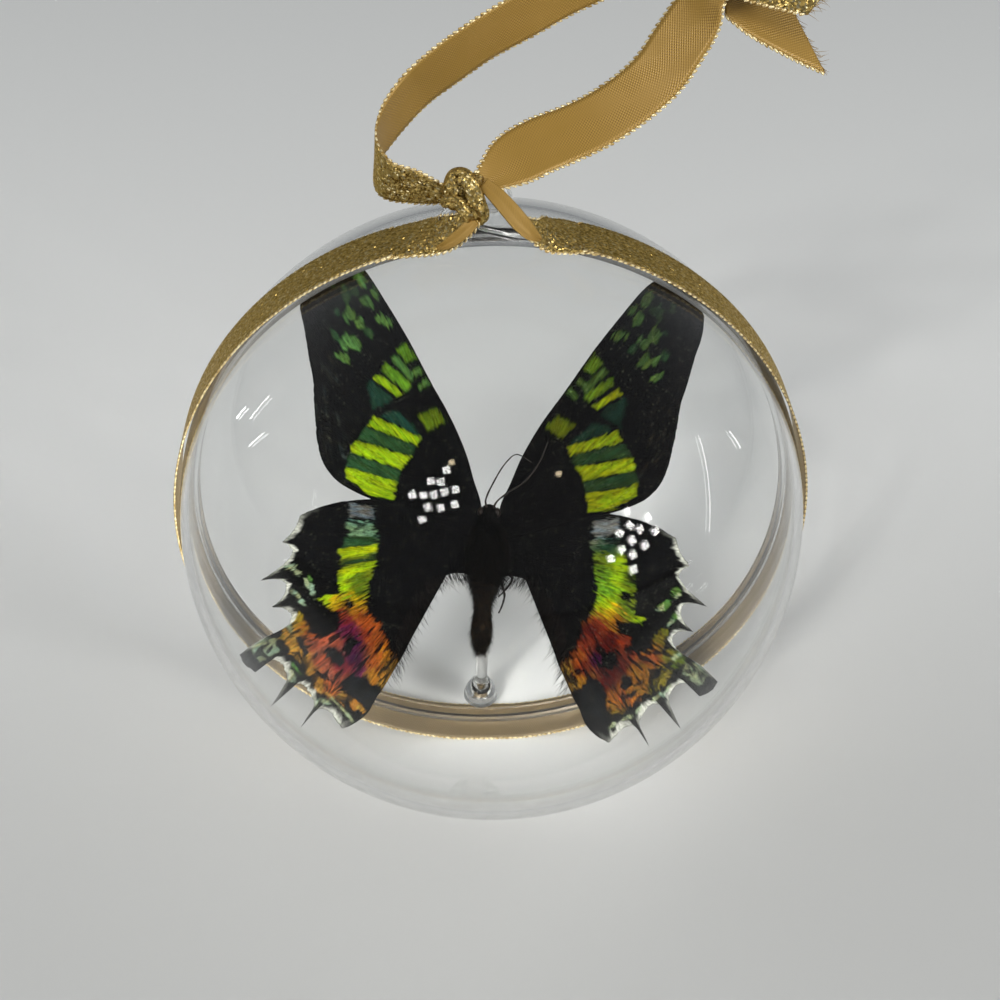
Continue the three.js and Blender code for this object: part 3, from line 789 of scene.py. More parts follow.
# The right hindwing's darker reds and browns are partly its own colours and partly painted shade.
hindwingRight = dict(
    dabs=[
        ("ash", 18.8, 1.4), ("teal", 19.2, -1.4), ("olive", 19.1, -3.4), ("grass", 19.2, -5.7),
        ("lime", 21.4, -4.6), ("lime", 21.0, -6.6), ("olive", 22.6, -7.2), ("grass", 19.7, -8.8),
        ("olive", 22.4, -10.8), ("lime", 20.0, -10.2), ("olive", 23.6, -11.6), ("lime", 25.4, -12.8),
        ("yellow", 20.5, -12.1), ("amber", 21.6, -12.8), ("rust", 19.0, -14.2), ("maroon", 17.4, -15.4),
        ("maroon", 20.8, -16.2), ("rust", 23.2, -16.3), ("maroon", 20.0, -18.0), ("rust", 17.0, -17.6),
        ("plum", 18.7, -19.6), ("maroon", 20.8, -22.8), ("maroon", 22.8, -20.8), ("rust", 24.0, -18.6),
        ("orange", 15.8, -19.6), ("orange", 15.6, -22.0), ("rust", 16.8, -21.0), ("amber", 16.4, -23.4),
        ("gold", 14.0, -22.2), ("gold", 14.8, -24.2), ("orange", 26.2, -19.6), ("orange", 28.0, -18.9),
        ("amber", 25.6, -21.4), ("amber", 27.0, -22.0), ("mustard", 28.5, -15.7), ("mustard", 29.4, -14.8),
        ("amber", 27.8, -16.8), ("mustard", 30.3, -17.9), ("olive", 32.1, -19.0), ("mustard", 30.0, -21.7),
        ("mustard", 28.2, -23.5), ("amber", 26.4, -24.2), ("amber", 22.1, -27.2), ("orange", 23.6, -25.9),
        ("mustard", 22.8, -28.4), ("amber", 25.0, -25.0)],
    field=[
        (17.2, 0.6), (16.6, -1.0), (17.2, -2.6), (17.6, -6.1), (18.1, -9.8), (17.7, -11.8), (16.1, -13.9),
        (15.8, -16.5), (14.9, -18.8), (13.2, -20.9), (12.9, -22.0), (14.8, -25.0), (17.1, -24.6), (17.8, -22.4),
        (20.4, -23.6), (20.9, -25.4), (20.8, -28.2), (22.3, -29.2), (24.2, -27.8), (27.4, -24.9), (29.6, -23.8),
        (30.9, -21.3), (33.3, -19.2), (32.3, -17.4), (29.4, -17.3), (29.8, -14.2), (28.6, -14.6), (27.5, -16.0),
        (27.4, -17.5), (25.5, -18.3), (24.0, -17.4), (24.2, -15.7), (21.9, -15.0), (21.7, -13.4), (25.7, -13.4),
        (26.1, -12.5), (24.2, -12.3), (24.3, -8.0), (23.8, -5.8), (22.0, -2.5), (21.2, 0.2)],
    patches=[
        ("ash", 0.5, [(16.7, 2.6), (20.5, 3.6), (21.3, 1.5), (18.6, 0.4), (16.6, 0.6)]),
        ("black", 0.4, [(24.6, -22.0), (25.1, -23.6), (23.4, -24.6), (22.6, -24.0), (23.4, -22.6)]),
        ("black", 0.35, [(29.6, -20.0), (28.8, -22.4), (27.6, -22.4), (28.4, -20.8)]),
        ("black", 0.5, [(19.6, -18.6), (21.8, -18.2), (22.4, -20.6), (20.6, -21.6), (19.4, -20.6)]),
        ("slate", 0.5, [(17.6, -23.2), (19.4, -23.6), (20.6, -27.2), (20.2, -30.0), (17.8, -28.6),
                        (16.0, -26.0)]),
        ("pale", 0.4, [(37.4, -21.2), (35.3, -19.7), (33.4, -19.6), (33.0, -21.3), (34.8, -22.6), (36.4, -23.6)]),
        ("slate", 0.25, [(39.3, -22.5), (37.2, -21.8), (36.0, -23.6), (36.4, -25.6), (38.8, -24.2)])],
    spots=[
        ("black", 22.9, -9.1, 1.0, 0.65, 170), ("black", 23.9, -14.4, 1.5, 1.0, 10),
        ("black", 25.8, -16.0, 1.6, 1.4, 60), ("black", 25.2, -24.9, 1.2, 0.3, 40),
        ("black", 26.0, -23.2, 1.0, 0.25, 40), ("black", 30.6, -20.0, 1.0, 0.3, 50),
        ("black", 29.6, -17.6, 0.9, 0.25, 40), ("fern", 31.0, -7.9, 0.8, 0.6, 60),
        ("pale", 31.2, -8.6, 0.5, 0.25, 40), ("fern", 29.2, -10.3, 0.9, 0.5, 40),
        ("pale", 28.6, -10.8, 0.5, 0.3, 40), ("fern", 31.1, -12.1, 0.8, 0.5, 40),
        ("pale", 30.4, -13.0, 0.6, 0.25, 50), ("pale", 31.8, -18.4, 0.8, 0.3, 40),
        ("pale", 22.0, -30.6, 0.8, 0.25, 50), ("pale", 24.6, -29.0, 0.9, 0.3, 20),
        ("pale", 26.6, -27.4, 1.0, 0.3, 40), ("pale", 28.8, -25.6, 1.0, 0.3, 40),
        ("pale", 30.6, -24.2, 0.9, 0.35, 50), ("slate", 34.2, -20.8, 0.9, 0.18, 120),
        ("slate", 35.6, -21.0, 0.6, 0.15, 100), ("slate", 36.2, -22.0, 0.8, 0.2, 120),
        ("black", 18.4, -16.4, 1.4, 0.12, 120), ("black", 16.2, -20.4, 1.2, 0.12, 120),
        ("black", 17.2, -22.2, 1.1, 0.12, 120), ("black", 20.6, -20.0, 0.9, 0.7, 60)])

# Outlines as runs of points, right side; a run ends where the edge turns sharply. Third number: pale fringe
forewingRuns = [
    [(1.2, 1.6, 0), (1.6, 4.6, 0), (2.9, 8.0, 0), (4.4, 12.2, 0), (7.0, 17.4, 0), (10.8, 23.4, 0),
     (14.9, 30.1, 0), (18.5, 35.3, 0), (22.0, 40.0, 0), (24.6, 42.4, 0)],
    [(24.6, 42.4, 0), (27.8, 42.0, 0), (30.4, 39.8, 0), (31.9, 37.2, 0), (32.0, 33.8, 0), (31.0, 29.8, 0),
     (30.1, 25.6, 0), (29.3, 22.4, 0), (29.0, 19.0, 0), (28.6, 15.9, 0), (28.1, 12.6, 0), (27.2, 9.7, 0),
     (25.1, 7.0, 0), (22.2, 5.3, 0), (18.4, 3.9, 0), (14.8, 3.1, 0), (8.0, 0.8, 0), (1.4, -1.6, 0)],
    [(1.4, -1.6, 0), (1.0, 0.0, 0), (1.2, 1.6, 0)],
]
hindwingRuns = [
    [(1.4, -1.2, 0), (8.0, 2.6, 0), (14.0, 4.2, 0), (22.5, 3.6, 0), (27.2, 2.3, 0), (30.2, 0.8, 0.3)],
    [(30.2, 0.8, 0.3), (31.2, -1.6, 1), (32.9, -3.7, 0.5)],
    [(32.9, -3.7, 0.5), (31.8, -4.2, 1), (31.2, -5.3, 1), (32.5, -7.2, 0.8), (36.1, -10.1, 0)],
    [(36.1, -10.1, 0), (34.1, -9.7, 0.5), (32.3, -10.0, 1), (31.9, -11.2, 1), (32.5, -12.7, 0.7),
     (34.1, -14.3, 0)],
    [(34.1, -14.3, 0), (32.3, -14.3, 0.5), (30.9, -15.1, 1), (31.1, -16.6, 1), (32.7, -18.0, 0.6),
     (35.6, -19.6, 0.4), (38.0, -21.5, 0.3), (39.1, -22.5, 0)],
    [(39.1, -22.5, 0), (38.3, -24.0, 0), (36.3, -25.1, 0)],
    [(36.3, -25.1, 0), (35.5, -23.9, 0.5), (34.1, -22.9, 1), (32.6, -23.0, 1), (31.4, -24.4, 1),
     (31.1, -25.8, 0.5), (32.2, -28.2, 0.3), (33.7, -30.8, 0)],
    [(33.7, -30.8, 0), (32.1, -28.8, 0.2), (30.2, -26.8, 0.7), (28.4, -26.6, 1), (27.0, -28.3, 1),
     (26.5, -29.8, 0.5), (27.7, -32.2, 0.2), (28.6, -33.9, 0)],
    [(28.6, -33.9, 0), (26.9, -31.6, 0.3), (25.5, -30.4, 0.8), (23.8, -30.9, 1), (22.8, -32.2, 1),
     (21.8, -33.5, 0.3)],
    [(21.8, -33.5, 0.3), (20.3, -32.8, 0), (18.9, -31.8, 0), (17.6, -30.4, 0), (16.7, -28.4, 0),
     (15.5, -26.5, 0)],
    [(15.5, -26.5, 0), (13.6, -22.8, 0), (12.3, -20.2, 0), (11.5, -16.5, 0), (10.2, -13.1, 0), (8.5, -9.6, 0),
     (6.2, -7.4, 0), (3.8, -7.0, 0), (1.6, -7.4, 0)],
    [(1.6, -7.4, 0), (1.2, -4.2, 0), (1.4, -1.2, 0)],
]
wings = dict(
    forewing=dict(runs=forewingRuns, root=(3.6, 1.4), around=480, outward=140, below=52, lift=0.30, thick=0.16,
                  shrink=0.9, wear=0.18),
    hindwing=dict(runs=hindwingRuns, root=(4.4, -3.2), around=640, outward=108, below=32, lift=-0.55, thick=0.16,
                  shrink=0.82, wear=0.22),
    # each wing's colour scale; the right forewing's darker, more olive one is painted shade
    toneAndShade=dict(left=(0.46, 0.46, 0.5), right=(0.31, 0.25, 0.27)), below=np.array([0.6, 0.75, 0.8]),
    # The right hindwing's larger share of darkening is painted shade.
    dim=dict(left=0.22, right=0.42),  # share by which the hindwings darken towards their tails
    seed=dict(left=40, right=50), knee=0.72, wave=0.35)


def outlineOf(runs, count):
    lengths = np.array([lengthOf(np.array(run)[:, :2]) for run in runs])
    shares = np.maximum(3, np.round(count * lengths / lengths.sum()).astype(int))
    return np.concatenate([curveThrough(run, share + 1, 2)[:-1] for run, share in zip(runs, shares)])


def smoothedLoop(loop, reach):
    # mean over a window that slides round the closed outline
    window = np.hanning(2 * reach + 3)[1:-1]
    window /= window.sum()
    padded = np.concatenate([loop[-reach:], loop, loop[:reach]])
    return np.stack([np.convolve(column, window, "valid") for column in padded.T], -1)


def streaked(tint, around, outward, seed):
    # scales wear unevenly: lighter and darker runs along the veins, dark flecks, and some runs that turn warm
    runs = ripple(around, outward, (170, 7), seed) * 0.6 + ripple(around, outward, (110, 34), seed + 1) * 0.5
    warm = ripple(around, outward, (120, 18), seed + 2)
    flecks = ease(0.42, 0.75, ripple(around, outward, (210, 60), seed + 4))
    worn = (1 + 0.5 * runs) * (1 - 0.45 * flecks)
    return tint * worn[..., None] * (1 + warm[..., None] * np.array([0.2, -0.03, -0.3]))


def paintPatches(tint, x, y, patches, ragged):
    for colour, rough, corners in patches:
        depth = depthInside(x, y, corners)
        mask = ease(-0.14, 0.14, depth + rough * ragged)
        rim = 1 - 0.3 * ease(0.55, 0.05, depth) * (colour not in ("black", "slate"))
        tint += (wingColours[colour] * rim[..., None] - tint) * mask[..., None]
    return tint


def paintSpots(tint, x, y, spots, ragged):
    # boxy spots: the cube root of summed cubes squares off an oval
    for colour, x0, y0, longHalf, shortHalf, turn in spots:
        c, s = np.cos(np.radians(turn)), np.sin(np.radians(turn))
        u, v = np.abs((x - x0) * c + (y - y0) * s), np.abs((y - y0) * c - (x - x0) * s)
        inside = (1 - np.cbrt((u / longHalf) ** 3 + (v / shortHalf) ** 3)) * shortHalf
        mask = ease(-0.15, 0.15, inside + min(0.5, 0.8 * shortHalf) * ragged)
        tint += (wingColours[colour] - tint) * mask[..., None]
    return tint


def paintForewing(x, y, around, outward, side, seed):
    ragged = ripple(around, outward, (130, 12), seed) * 0.6 + ripple(around, outward, (230, 60), seed + 1) * 0.6
    tint = np.broadcast_to(wingColours["black"], x.shape + (3,)).copy()
    edge = ripple(around, outward, (60, 40), seed + 2)
    tint += ((0.4 + 0.6 * edge) * ease(0.5, 0.9, outward))[..., None] * wingColours["soot"]
    worn = ease(0.4, 0.75, ripple(around, outward, (95, 46), seed + 8)) * ease(0.5, 0.75, outward)
    tint += (wingColours["dust"] - tint) * (0.5 * worn)[..., None]
    tint = paintPatches(tint, x, y, forewingPatches, ragged)
    return streaked(paintSpots(tint, x, y, forewingSpots, ragged), around, outward, seed + 3)


def paintHindwing(x, y, around, outward, side, seed):
    marks = hindwingLeft if side < 0 else hindwingRight
    ragged = ripple(around, outward, (170, 11), seed) * 0.6 + ripple(around, outward, (300, 54), seed + 1) * 0.6
    tint = np.broadcast_to(wingColours["black"], x.shape + (3,)).copy()
    total = np.zeros(x.shape)
    run = np.zeros(tint.shape)
    for colour, x0, y0 in marks["dabs"]:
        near = 1 / (0.2 + (x - x0 + ragged * 0.6) ** 2 + (y - y0 + ragged * 1.1) ** 2) ** 2.2
        total += near
        run += near[..., None] * wingColours[colour]
    depth = depthInside(x, y, marks["field"])
    nicks = ease(0.2, 0.5, ripple(around, outward, (150, 26), seed + 7)) * ease(3.0, 0.2, depth)
    mask = ease(-0.16, 0.16, depth + 0.6 * ragged) * (1 - 0.9 * nicks)
    tint += (run / total[..., None] - tint) * mask[..., None]
    tint = paintPatches(tint, x, y, marks["patches"], ragged)
    specks = ease(0.36, 0.44, ripple(around, outward, (120, 30), seed + 9))
    specks *= ease(-15, -18, y) * ease(0.4, 0.55, outward)
    tint *= (1 - 0.9 * specks)[..., None]
    # darker towards the tail; the right hindwing's larger share is painted shade
    tint *= (1 - wings["dim"]["left" if side < 0 else "right"] * ease(-11, -15, y))[..., None]
    return streaked(paintSpots(tint, x, y, marks["spots"], ragged), around, outward, seed + 3)


def wingSurface(kind, side, seed):
    # rays from the root to the edge: straight to a smoothed, shrunken edge, then out to the true one.
    # The wing is a thin closed skin: painted upper side, coarser underside, meeting at the rim
    w = wings[kind]
    edge = outlineOf(w["runs"], w["around"])
    fringe, edge = edge[:, 2], edge[:, :2]
    count = len(edge)
    wear = np.random.default_rng(seed).normal(0, w["wear"] * 0.5, count)
    root = np.array(w["root"])
    away = unit(edge - root)
    edge = edge + away * (wear * ease(12, 20, np.linalg.norm(edge - root, axis=1)))[:, None] * 0.6
    inner = root + (smoothedLoop(edge, count // 26) - root) * w["shrink"]
    knee = wings["knee"]

    def rays(steps):
        s = np.linspace(0, 1, steps) ** 0.9
        first, second = np.clip(s / knee, 0, 1), np.clip((s - knee) / (1 - knee), 0, 1)
        flat = root + (inner - root)[:, None] * first[:, None] + (edge - inner)[:, None] * second[:, None]
        return flat, np.broadcast_to(s, flat.shape[:2])

    def lifted(flat, height):
        x, y = flat[..., 0], flat[..., 1]
        wave = wings["wave"] * np.sin(x * 0.16 + 0.6) * np.sin(y * 0.13 + 1.1) * ease(5, 16, np.hypot(x, y))
        return fromMoth(np.stack([side * x, y, height + wave], -1))

    flat, s = rays(w["outward"])
    around = np.broadcast_to(np.linspace(0, 1, count)[:, None], s.shape)
    x, y = flat[..., 0], flat[..., 1]
    paint = paintForewing if kind == "forewing" else paintHindwing
    # the right forewing takes the darker colour of painted shade; the left forewing and both hindwings take the
    # other
    toneAndShade = wings["toneAndShade"]["left" if side < 0 or kind == "hindwing" else "right"]
    tint = paint(x, y, around, s, side, seed) * np.array(toneAndShade)
    rim = ease(0.93, 0.985, s + 0.03 * ripple(around, s, (300, 20), seed + 5)) * fringe[:, None]
    tint += (wingColours["chalk"] - tint) * rim[..., None]
    lay = np.stack([around, s, np.zeros(s.shape)], -1)
    top = lifted(flat, w["lift"] + w["thick"] * (1 - 0.98 * ease(0.94, 1, s)))
    under, sUnder = rays(w["below"])
    bottom = lifted(under, w["lift"])
    bottom[:, -1] = top[:, -1]
    aroundUnder = np.broadcast_to(around[:, :1], sUnder.shape)
    dull = paint(under[..., 0], under[..., 1], aroundUnder, sUnder, side, seed) * np.array(toneAndShade) * wings["below"]
    layUnder = np.stack([aroundUnder, sUnder, np.zeros(sUnder.shape)], -1)
    return [surface(top, wrapRows=True, lay=lay, tint=tint),
            surface(bottom, wrapRows=True, lay=layUnder, tint=dull)]


marginHair = dict(count=520, length=2.3, thickness=0.035, run=10, steps=400)


def addWings():
    for sideName, side in (("left", -1), ("right", 1)):
        for kind in ("forewing", "hindwing"):
            name = f"{sideName}_{kind}"
            surfaces = wingSurface(kind, side, wings["seed"][sideName])
            if kind == "hindwing":
                surfaces.append(innerFringe(side))
            addPiece(name, makeMesh(name, surfaces), [wingScales], "wing", name)


def innerFringe(side):
    # dark hair along the wing's inner edge, combed towards the tail
    line = curveThrough(np.array(hindwingRuns[marginHair["run"]])[:, :2], marginHair["steps"])
    pick = rng.uniform(0.05, 0.98, marginHair["count"]) ** 0.8
    at = (pick * (len(line) - 1)).astype(int)
    spread = rng.normal(0, 1, (len(at), 3))
    inset = rng.uniform(-0.2, 2.2, len(at))
    roots = np.stack([line[at, 0] + inset, line[at, 1] + spread[:, 0] * 0.3,
                      -0.42 + 0.16 * spread[:, 1]], -1)
    ahead = np.stack([-0.55 + 0.3 * spread[:, 0], -0.9 + 0.2 * spread[:, 1], 0.15 + 0.25 * spread[:, 2]], -1)
    lengths = marginHair["length"] * rng.uniform(0.5, 1.15, len(at))
    bend = np.stack([0.25 * spread[:, 1], np.full(len(at), -0.25), 0.1 * spread[:, 0]], -1)
    tints = linear(16, 12, 10) * rng.uniform(0.5, 2.6, (len(at), 1))
    flip = np.array([side, 1, 1])
    moved = fromMoth(roots * flip)
    turn = fromMoth(ahead * flip) - fromMoth(np.zeros(3))
    bent = fromMoth(bend * flip) - fromMoth(np.zeros(3))
    return hairs(moved, turn, lengths, marginHair["thickness"], bent, tints)


addWings()
print("wings painted")


# Body: lumpy ovals under fur, thin legs and feelers

body = dict(  # along: distance down the body's own length and radius there
    head=dict(middle=(-0.2, 0.15), deep=0.88, hair=1100, hairLength=1.0, spread=0.7,
              along=[(4.5, 0), (4.3, 0.7), (3.6, 1.4), (2.7, 1.65), (1.8, 1.6), (1.2, 1.2), (1.0, 0)]),
    thorax=dict(middle=(0, 0), deep=0.85, hair=5200, hairLength=2.0, spread=0.9,
                along=[(1.6, 0), (1.3, 1.2), (0.4, 2.2), (-1.4, 2.9), (-3.6, 3.15), (-5.8, 2.8), (-7.4, 2.0),
                       (-8.1, 0)]),
    abdomen=dict(middle=(-0.2, 0.1), deep=0.95, hair=3000, hairLength=1.0, spread=0.5,
                 along=[(-7.6, 0), (-7.8, 1.9), (-8.6, 2.45), (-9.6, 2.1), (-10.7, 1.65), (-12.3, 1.4),
                        (-13.7, 1.5), (-15.7, 1.7), (-17.5, 1.45), (-18.8, 0.9), (-19.6, 0.4), (-19.8, 0)]),
    hairThickness=0.03, outlineSteps=200, rodSteps=60)
furColours = dict(head=[(4, 4, 3), (7, 6, 5)], thorax=[(2, 2, 2), (3, 3, 2), (5, 4, 3), (17, 12, 7)],
                  abdomen=[(4, 3, 3), (8, 6, 4), (13, 9, 6), (34, 25, 13), (6, 5, 4)])


def bodyAt(spec, s, angle):
    # the body's side outline turned about its length and flattened a little from front to back
    line = curveThrough(spec["along"], body["outlineSteps"])
    steps, at = np.arange(len(line)), s * (len(line) - 1)
    y, r = np.interp(at, steps, line[:, 0]), np.interp(at, steps, np.maximum(line[:, 1], 0))
    return np.stack([spec["middle"][0] + r * np.cos(angle), y + 0 * angle,
                     spec["middle"][1] + r * spec["deep"] * np.sin(angle)], -1)


def bodySurface(name, spec):
    # lumpy skin under the fur; the abdomen's rings swell between narrow joints
    s, angle = np.meshgrid(np.linspace(0, 1, 110), np.linspace(0, 2 * np.pi, 72, endpoint=False), indexing="ij")
    points = bodyAt(spec, s, angle)
    core = np.array([spec["middle"][0], 0, spec["middle"][1]])
    swell = 0.94 + 0.02 * np.sin(5 * angle + 9 * s)
    if name == "abdomen":
        swell = swell + (0.06 * np.abs(np.sin(s * 26)) - 0.03)
    points = np.where([True, False, True], core + (points - core) * swell[..., None], points)
    colours = np.array([linear(*c) for c in furColours[name]])
    mottle = ripple(angle / (2 * np.pi), s, (26, 60), 90) + 0.4 * np.sin(s * 52)
    at = np.clip((0.5 + 0.35 * mottle) * len(colours), 0, len(colours) - 1).astype(int)
    return surface(fromMoth(points), wrapCols=True, tint=colours[at] * 0.8)


def bodyFurOf(name, spec):
    count = spec["hair"]
    s, angle = rng.uniform(0.03, 0.97, count), rng.uniform(0, 2 * np.pi, count)
    roots = bodyAt(spec, s, angle)
    core = np.array([spec["middle"][0], 0, spec["middle"][1]])
    roots = np.where([True, False, True], core + (roots - core) * 0.9, roots)
    outwards = np.stack([np.cos(angle), np.zeros(count), np.sin(angle)], -1)
    back = np.array([0, -1.0, 0]) + (name == "thorax") * np.array([0, 1.0, 0]) * ease(0.5, 0.0, s)[:, None]
    lie = outwards * spec["spread"] + back + rng.normal(0, 0.25, (count, 3))
    bend = np.array([0, -0.25, 0]) + rng.normal(0, 0.15, (count, 3))
    colours = np.array([linear(*c) for c in furColours[name]])
    tints = colours[rng.integers(0, len(colours), count)] * rng.uniform(0.6, 1.5, (count, 1))
    origin = fromMoth(np.zeros(3))
    return hairs(fromMoth(roots), fromMoth(lie) - origin, spec["hairLength"] * rng.uniform(0.5, 1.2, count),
                 body["hairThickness"], fromMoth(bend) - origin, tints)


def headEyes():
    # two dark domes at the sides of the head
    s = np.linspace(0, np.pi, 16)[:, None]
    angle = np.linspace(0, 2 * np.pi, 20, endpoint=False)[None]
    dome = np.stack([np.sin(s) * np.cos(angle), np.sin(s) * np.sin(angle), np.cos(s) * np.ones_like(angle)], -1)
    places = [(-1.45, 3.2, 0.35), (1.05, 3.2, 0.35)]
    return [surface(fromMoth(dome * np.array([0.62, 0.8, 0.75]) + np.array(p)), wrapCols=True, look=1)
            for p in places]


thinRods = dict(
    left_antenna=([(-0.6, 3.9, 0.9), (-0.9, 5.0, 1.0), (0.1, 7.9, 1.3), (2.0, 11.4, 1.5), (3.5, 12.7, 1.3),
                   (6.0, 11.6, 1.2)], 0.16, 0.07),
    right_antenna=([(0.4, 3.9, 0.9), (0.9, 5.0, 1.0), (2.6, 6.6, 1.4), (5.0, 8.4, 1.5), (7.2, 11.6, 1.3),
                    (8.4, 15.0, 1.2)], 0.16, 0.07),
    right_mid_leg=([(2.6, -5.9, -1.4), (3.5, -6.6, -1.6), (4.3, -7.6, -1.9), (3.2, -9.6, -1.9),
                    (2.2, -10.6, -1.5)], 0.26, 0.12),
    right_hind_leg=([(1.9, -7.6, -2.4), (2.6, -8.6, -3.0), (3.3, -10.4, -3.2), (3.0, -12.2, -3.0),
                     (2.5, -13.4, -2.6)], 0.26, 0.12))


def addBody():
    for name in ("head", "thorax", "abdomen"):
        surfaces = [bodySurface(name, body[name]), bodyFurOf(name, body[name])]
        if name == "head":
            surfaces += headEyes()
        addPiece(name, makeMesh(name, surfaces), [bodyFur, darkChitin], "body", name)
    for name, (points, thick, thin) in thinRods.items():
        steps = body["rodSteps"]
        path = fromMoth(curveThrough(points, steps))
        radii = np.linspace(thick, thin, steps) * (1 + 0.12 * np.sin(np.linspace(0, 40, steps)))
        addPiece(name, makeMesh(name, [tube(path, radii, 10)]), [darkChitin], "body", name)


addBody()
print("body, fur, legs and feelers made")


# Ribbon: strips with a glitter face, a satin back, darker as painted shade on the band's inner face, and beaded
# edges

def strip(centre, facing, width, cup=0.0, slant=0.0, back=1):
    # a flat section carried along a path: facing is the way its back looks, and back that side's place
    # among the ribbon's looks; cup bows the section, and slant leans it more and more along the path,
    # so that the far end is cut at an angle
    count = len(centre)
    ahead = unit(np.gradient(centre, axis=0))
    across = unit(np.cross(ahead, facing))
    normal = np.cross(across, ahead)
    width, cup = np.broadcast_to(width, count), np.broadcast_to(cup, count)
    along = distances(centre)
    lean = slant * (along / along[-1]) ** 2
    columns = ribbon["columns"]
    u, level = np.linspace(-1, 1, columns), np.full(columns, 0.5)
    w = np.concatenate([u, [1.0], u[::-1], [-1.0]])
    h = np.concatenate([-level, [0], level, [0]]) * ribbon["thickness"]
    thin = np.ones(count)
    thin[[0, -1]] = 0
    points = (centre[:, None] + across[:, None] * (w * width[:, None] / 2)[..., None]
              + ahead[:, None] * (w * lean[:, None])[..., None]
              + normal[:, None] * (h[None] * thin[:, None] + cup[:, None] * (w**2)[None])[..., None])
    lay = np.stack([along[:, None] + w * lean[:, None],
                    np.broadcast_to(w * ribbon["width"] / 2, points.shape[:2]), np.zeros(points.shape[:2])], -1)
    look = np.tile(np.where(np.arange(len(w)) < columns, 0, back), count - 1)
    edges = [centre + across * (side * width / 2)[:, None] + ahead * (side * lean)[:, None]
             + normal * cup[:, None] for side in (-1, 1)]
    beads = [edgeBeads(edge, across, normal) for edge in edges]
    return [surface(points, wrapCols=True, look=look, lay=lay)] + beads


def edgeBeads(edge, across, normal):
    # small loops of thread, one after another along an edge
    along = distances(edge)
    at = np.arange(ribbon["beadPitch"] / 2, along[-1], ribbon["beadPitch"])

    def read(values):
        return np.stack([np.interp(at, along, column) for column in values.T], -1)

    places = read(edge)
    axes = [unit(read(v)) for v in (unit(np.gradient(edge, axis=0)), across, normal)]
    s = np.linspace(0, np.pi, 5)[:, None]
    angle = np.linspace(0, 2 * np.pi, 7, endpoint=False)[None]
    dome = np.stack([np.cos(s) * np.ones_like(angle), np.sin(s) * np.cos(angle), np.sin(s) * np.sin(angle)], -1)
    one = surface(dome, wrapCols=True, look=2)
    flat = dome.reshape(-1, 3) * np.array(ribbon["beadSize"])
    slope = flat[:, :1] + ribbon["beadLean"] * flat[:, 1:2]  # threads lean along the edge
    places = (places[:, None] + slope[None] * axes[0][:, None] + flat[None, :, 1:2] * axes[1][:, None]
              + flat[None, :, 2:3] * axes[2][:, None])
    return copies(one, places)


band = dict(leftEnd=17.0, rightEnd=14.0, steps=420, inset=0.02, narrower=0.6)


def addBand():
    # round the seam, with the short flat it stands on
    angle = np.radians(np.linspace(90 - band["rightEnd"], -270 + band["leftEnd"], band["steps"]))
    fromBottom = np.abs((angle + np.pi / 2 + np.pi) % (2 * np.pi) - np.pi)
    outer = np.minimum(ribbon["bandOuter"], centreHeight / np.maximum(np.cos(fromBottom), 0.2))
    radius = outer - ribbon["thickness"] / 2 - band["inset"]
    centre = np.stack([radius * np.cos(angle), np.zeros(len(angle)), radius * np.sin(angle)], -1)
    fromEnd = np.degrees(np.minimum(angle[0] - angle, angle - angle[-1]))
    width = (ribbon["width"] - band["narrower"]) * (0.98 + 0.02 * ease(0, 9, fromEnd))
    # the band's inner face takes the darker satin of painted shade
    addPiece("ribbon_band", makeMesh("ribbon_band", strip(centre, -unit(centre), width, back=3)), ribbonLooks,
             "gold_glitter", "ribbon_band")


# Hanging loop: x, y, z, the way the satin looks, and the width
leftStrand = [
    (-6.0, -3.0, 56.6, -0.1, 0.95, 0.25, 1.6), (-8.2, -3.0, 57.1, -0.1, 0.95, 0.25, 3.4),
    (-11.6, -2.6, 58.0, -0.05, 0.95, 0.28, 5.6), (-15.4, -2.0, 59.0, 0.35, 0.85, 0.3, 7.0),
    (-16.8, 1.0, 61.4, 0.95, 0.25, 0.1, 7.2), (-15.0, 5.0, 64.2, 0.8, -0.5, -0.1, 7.4),
    (-11.2, 8.0, 67.8, 0.55, -0.75, -0.2, 7.4), (-6.8, 8.7, 71.2, 0.4, -0.8, -0.2, 7.4),
    (-2.1, 9.2, 74.4, 0.35, -0.8, -0.2, 7.2), (4.0, 10.0, 77.7, 0.25, -0.85, -0.15, 7.0),
    (10.3, 11.0, 81.0, 0.2, -0.85, -0.1, 7.0), (18.0, 12.0, 84.4, 0.1, -0.9, 0.1, 7.2),
    (25.0, 12.4, 85.6, 0.0, -0.85, 0.3, 6.8), (28.4, 12.8, 85.4, -0.2, -0.8, 0.5, 5.4)]
throughBow = [(31.2, 13.0, 84.6, -0.6, -0.7, 0.2, 4.4), (31.3, 12.9, 82.2, -0.7, -0.7, 0.0, 4.8)]
rightStrand = [
    (-3.0, -2.6, 57.8, 0.2, -0.7, 0.7, 1.8), (-0.6, -1.0, 59.0, 0.2, -0.7, 0.7, 4.6),
    (2.2, 1.0, 60.2, 0.1, -0.7, 0.7, 7.2), (6.3, 4.0, 61.2, 0.0, -0.7, 0.7, 8.0),
    (10.8, 6.4, 62.0, -0.1, -0.7, 0.7, 8.0), (15.0, 8.0, 63.4, -0.2, -0.7, 0.68, 8.0),
    (19.6, 9.4, 66.0, -0.3, -0.7, 0.62, 8.0), (23.4, 10.6, 69.2, -0.4, -0.72, 0.55, 8.2),
    (26.0, 11.6, 73.0, -0.5, -0.74, 0.45, 8.4), (28.2, 12.4, 76.6, -0.6, -0.74, 0.3, 8.0),
    (29.4, 12.7, 79.6, -0.7, -0.72, 0.2, 6.6)]
loop = dict(length=0.123, steps=300, stiffness="stiff")


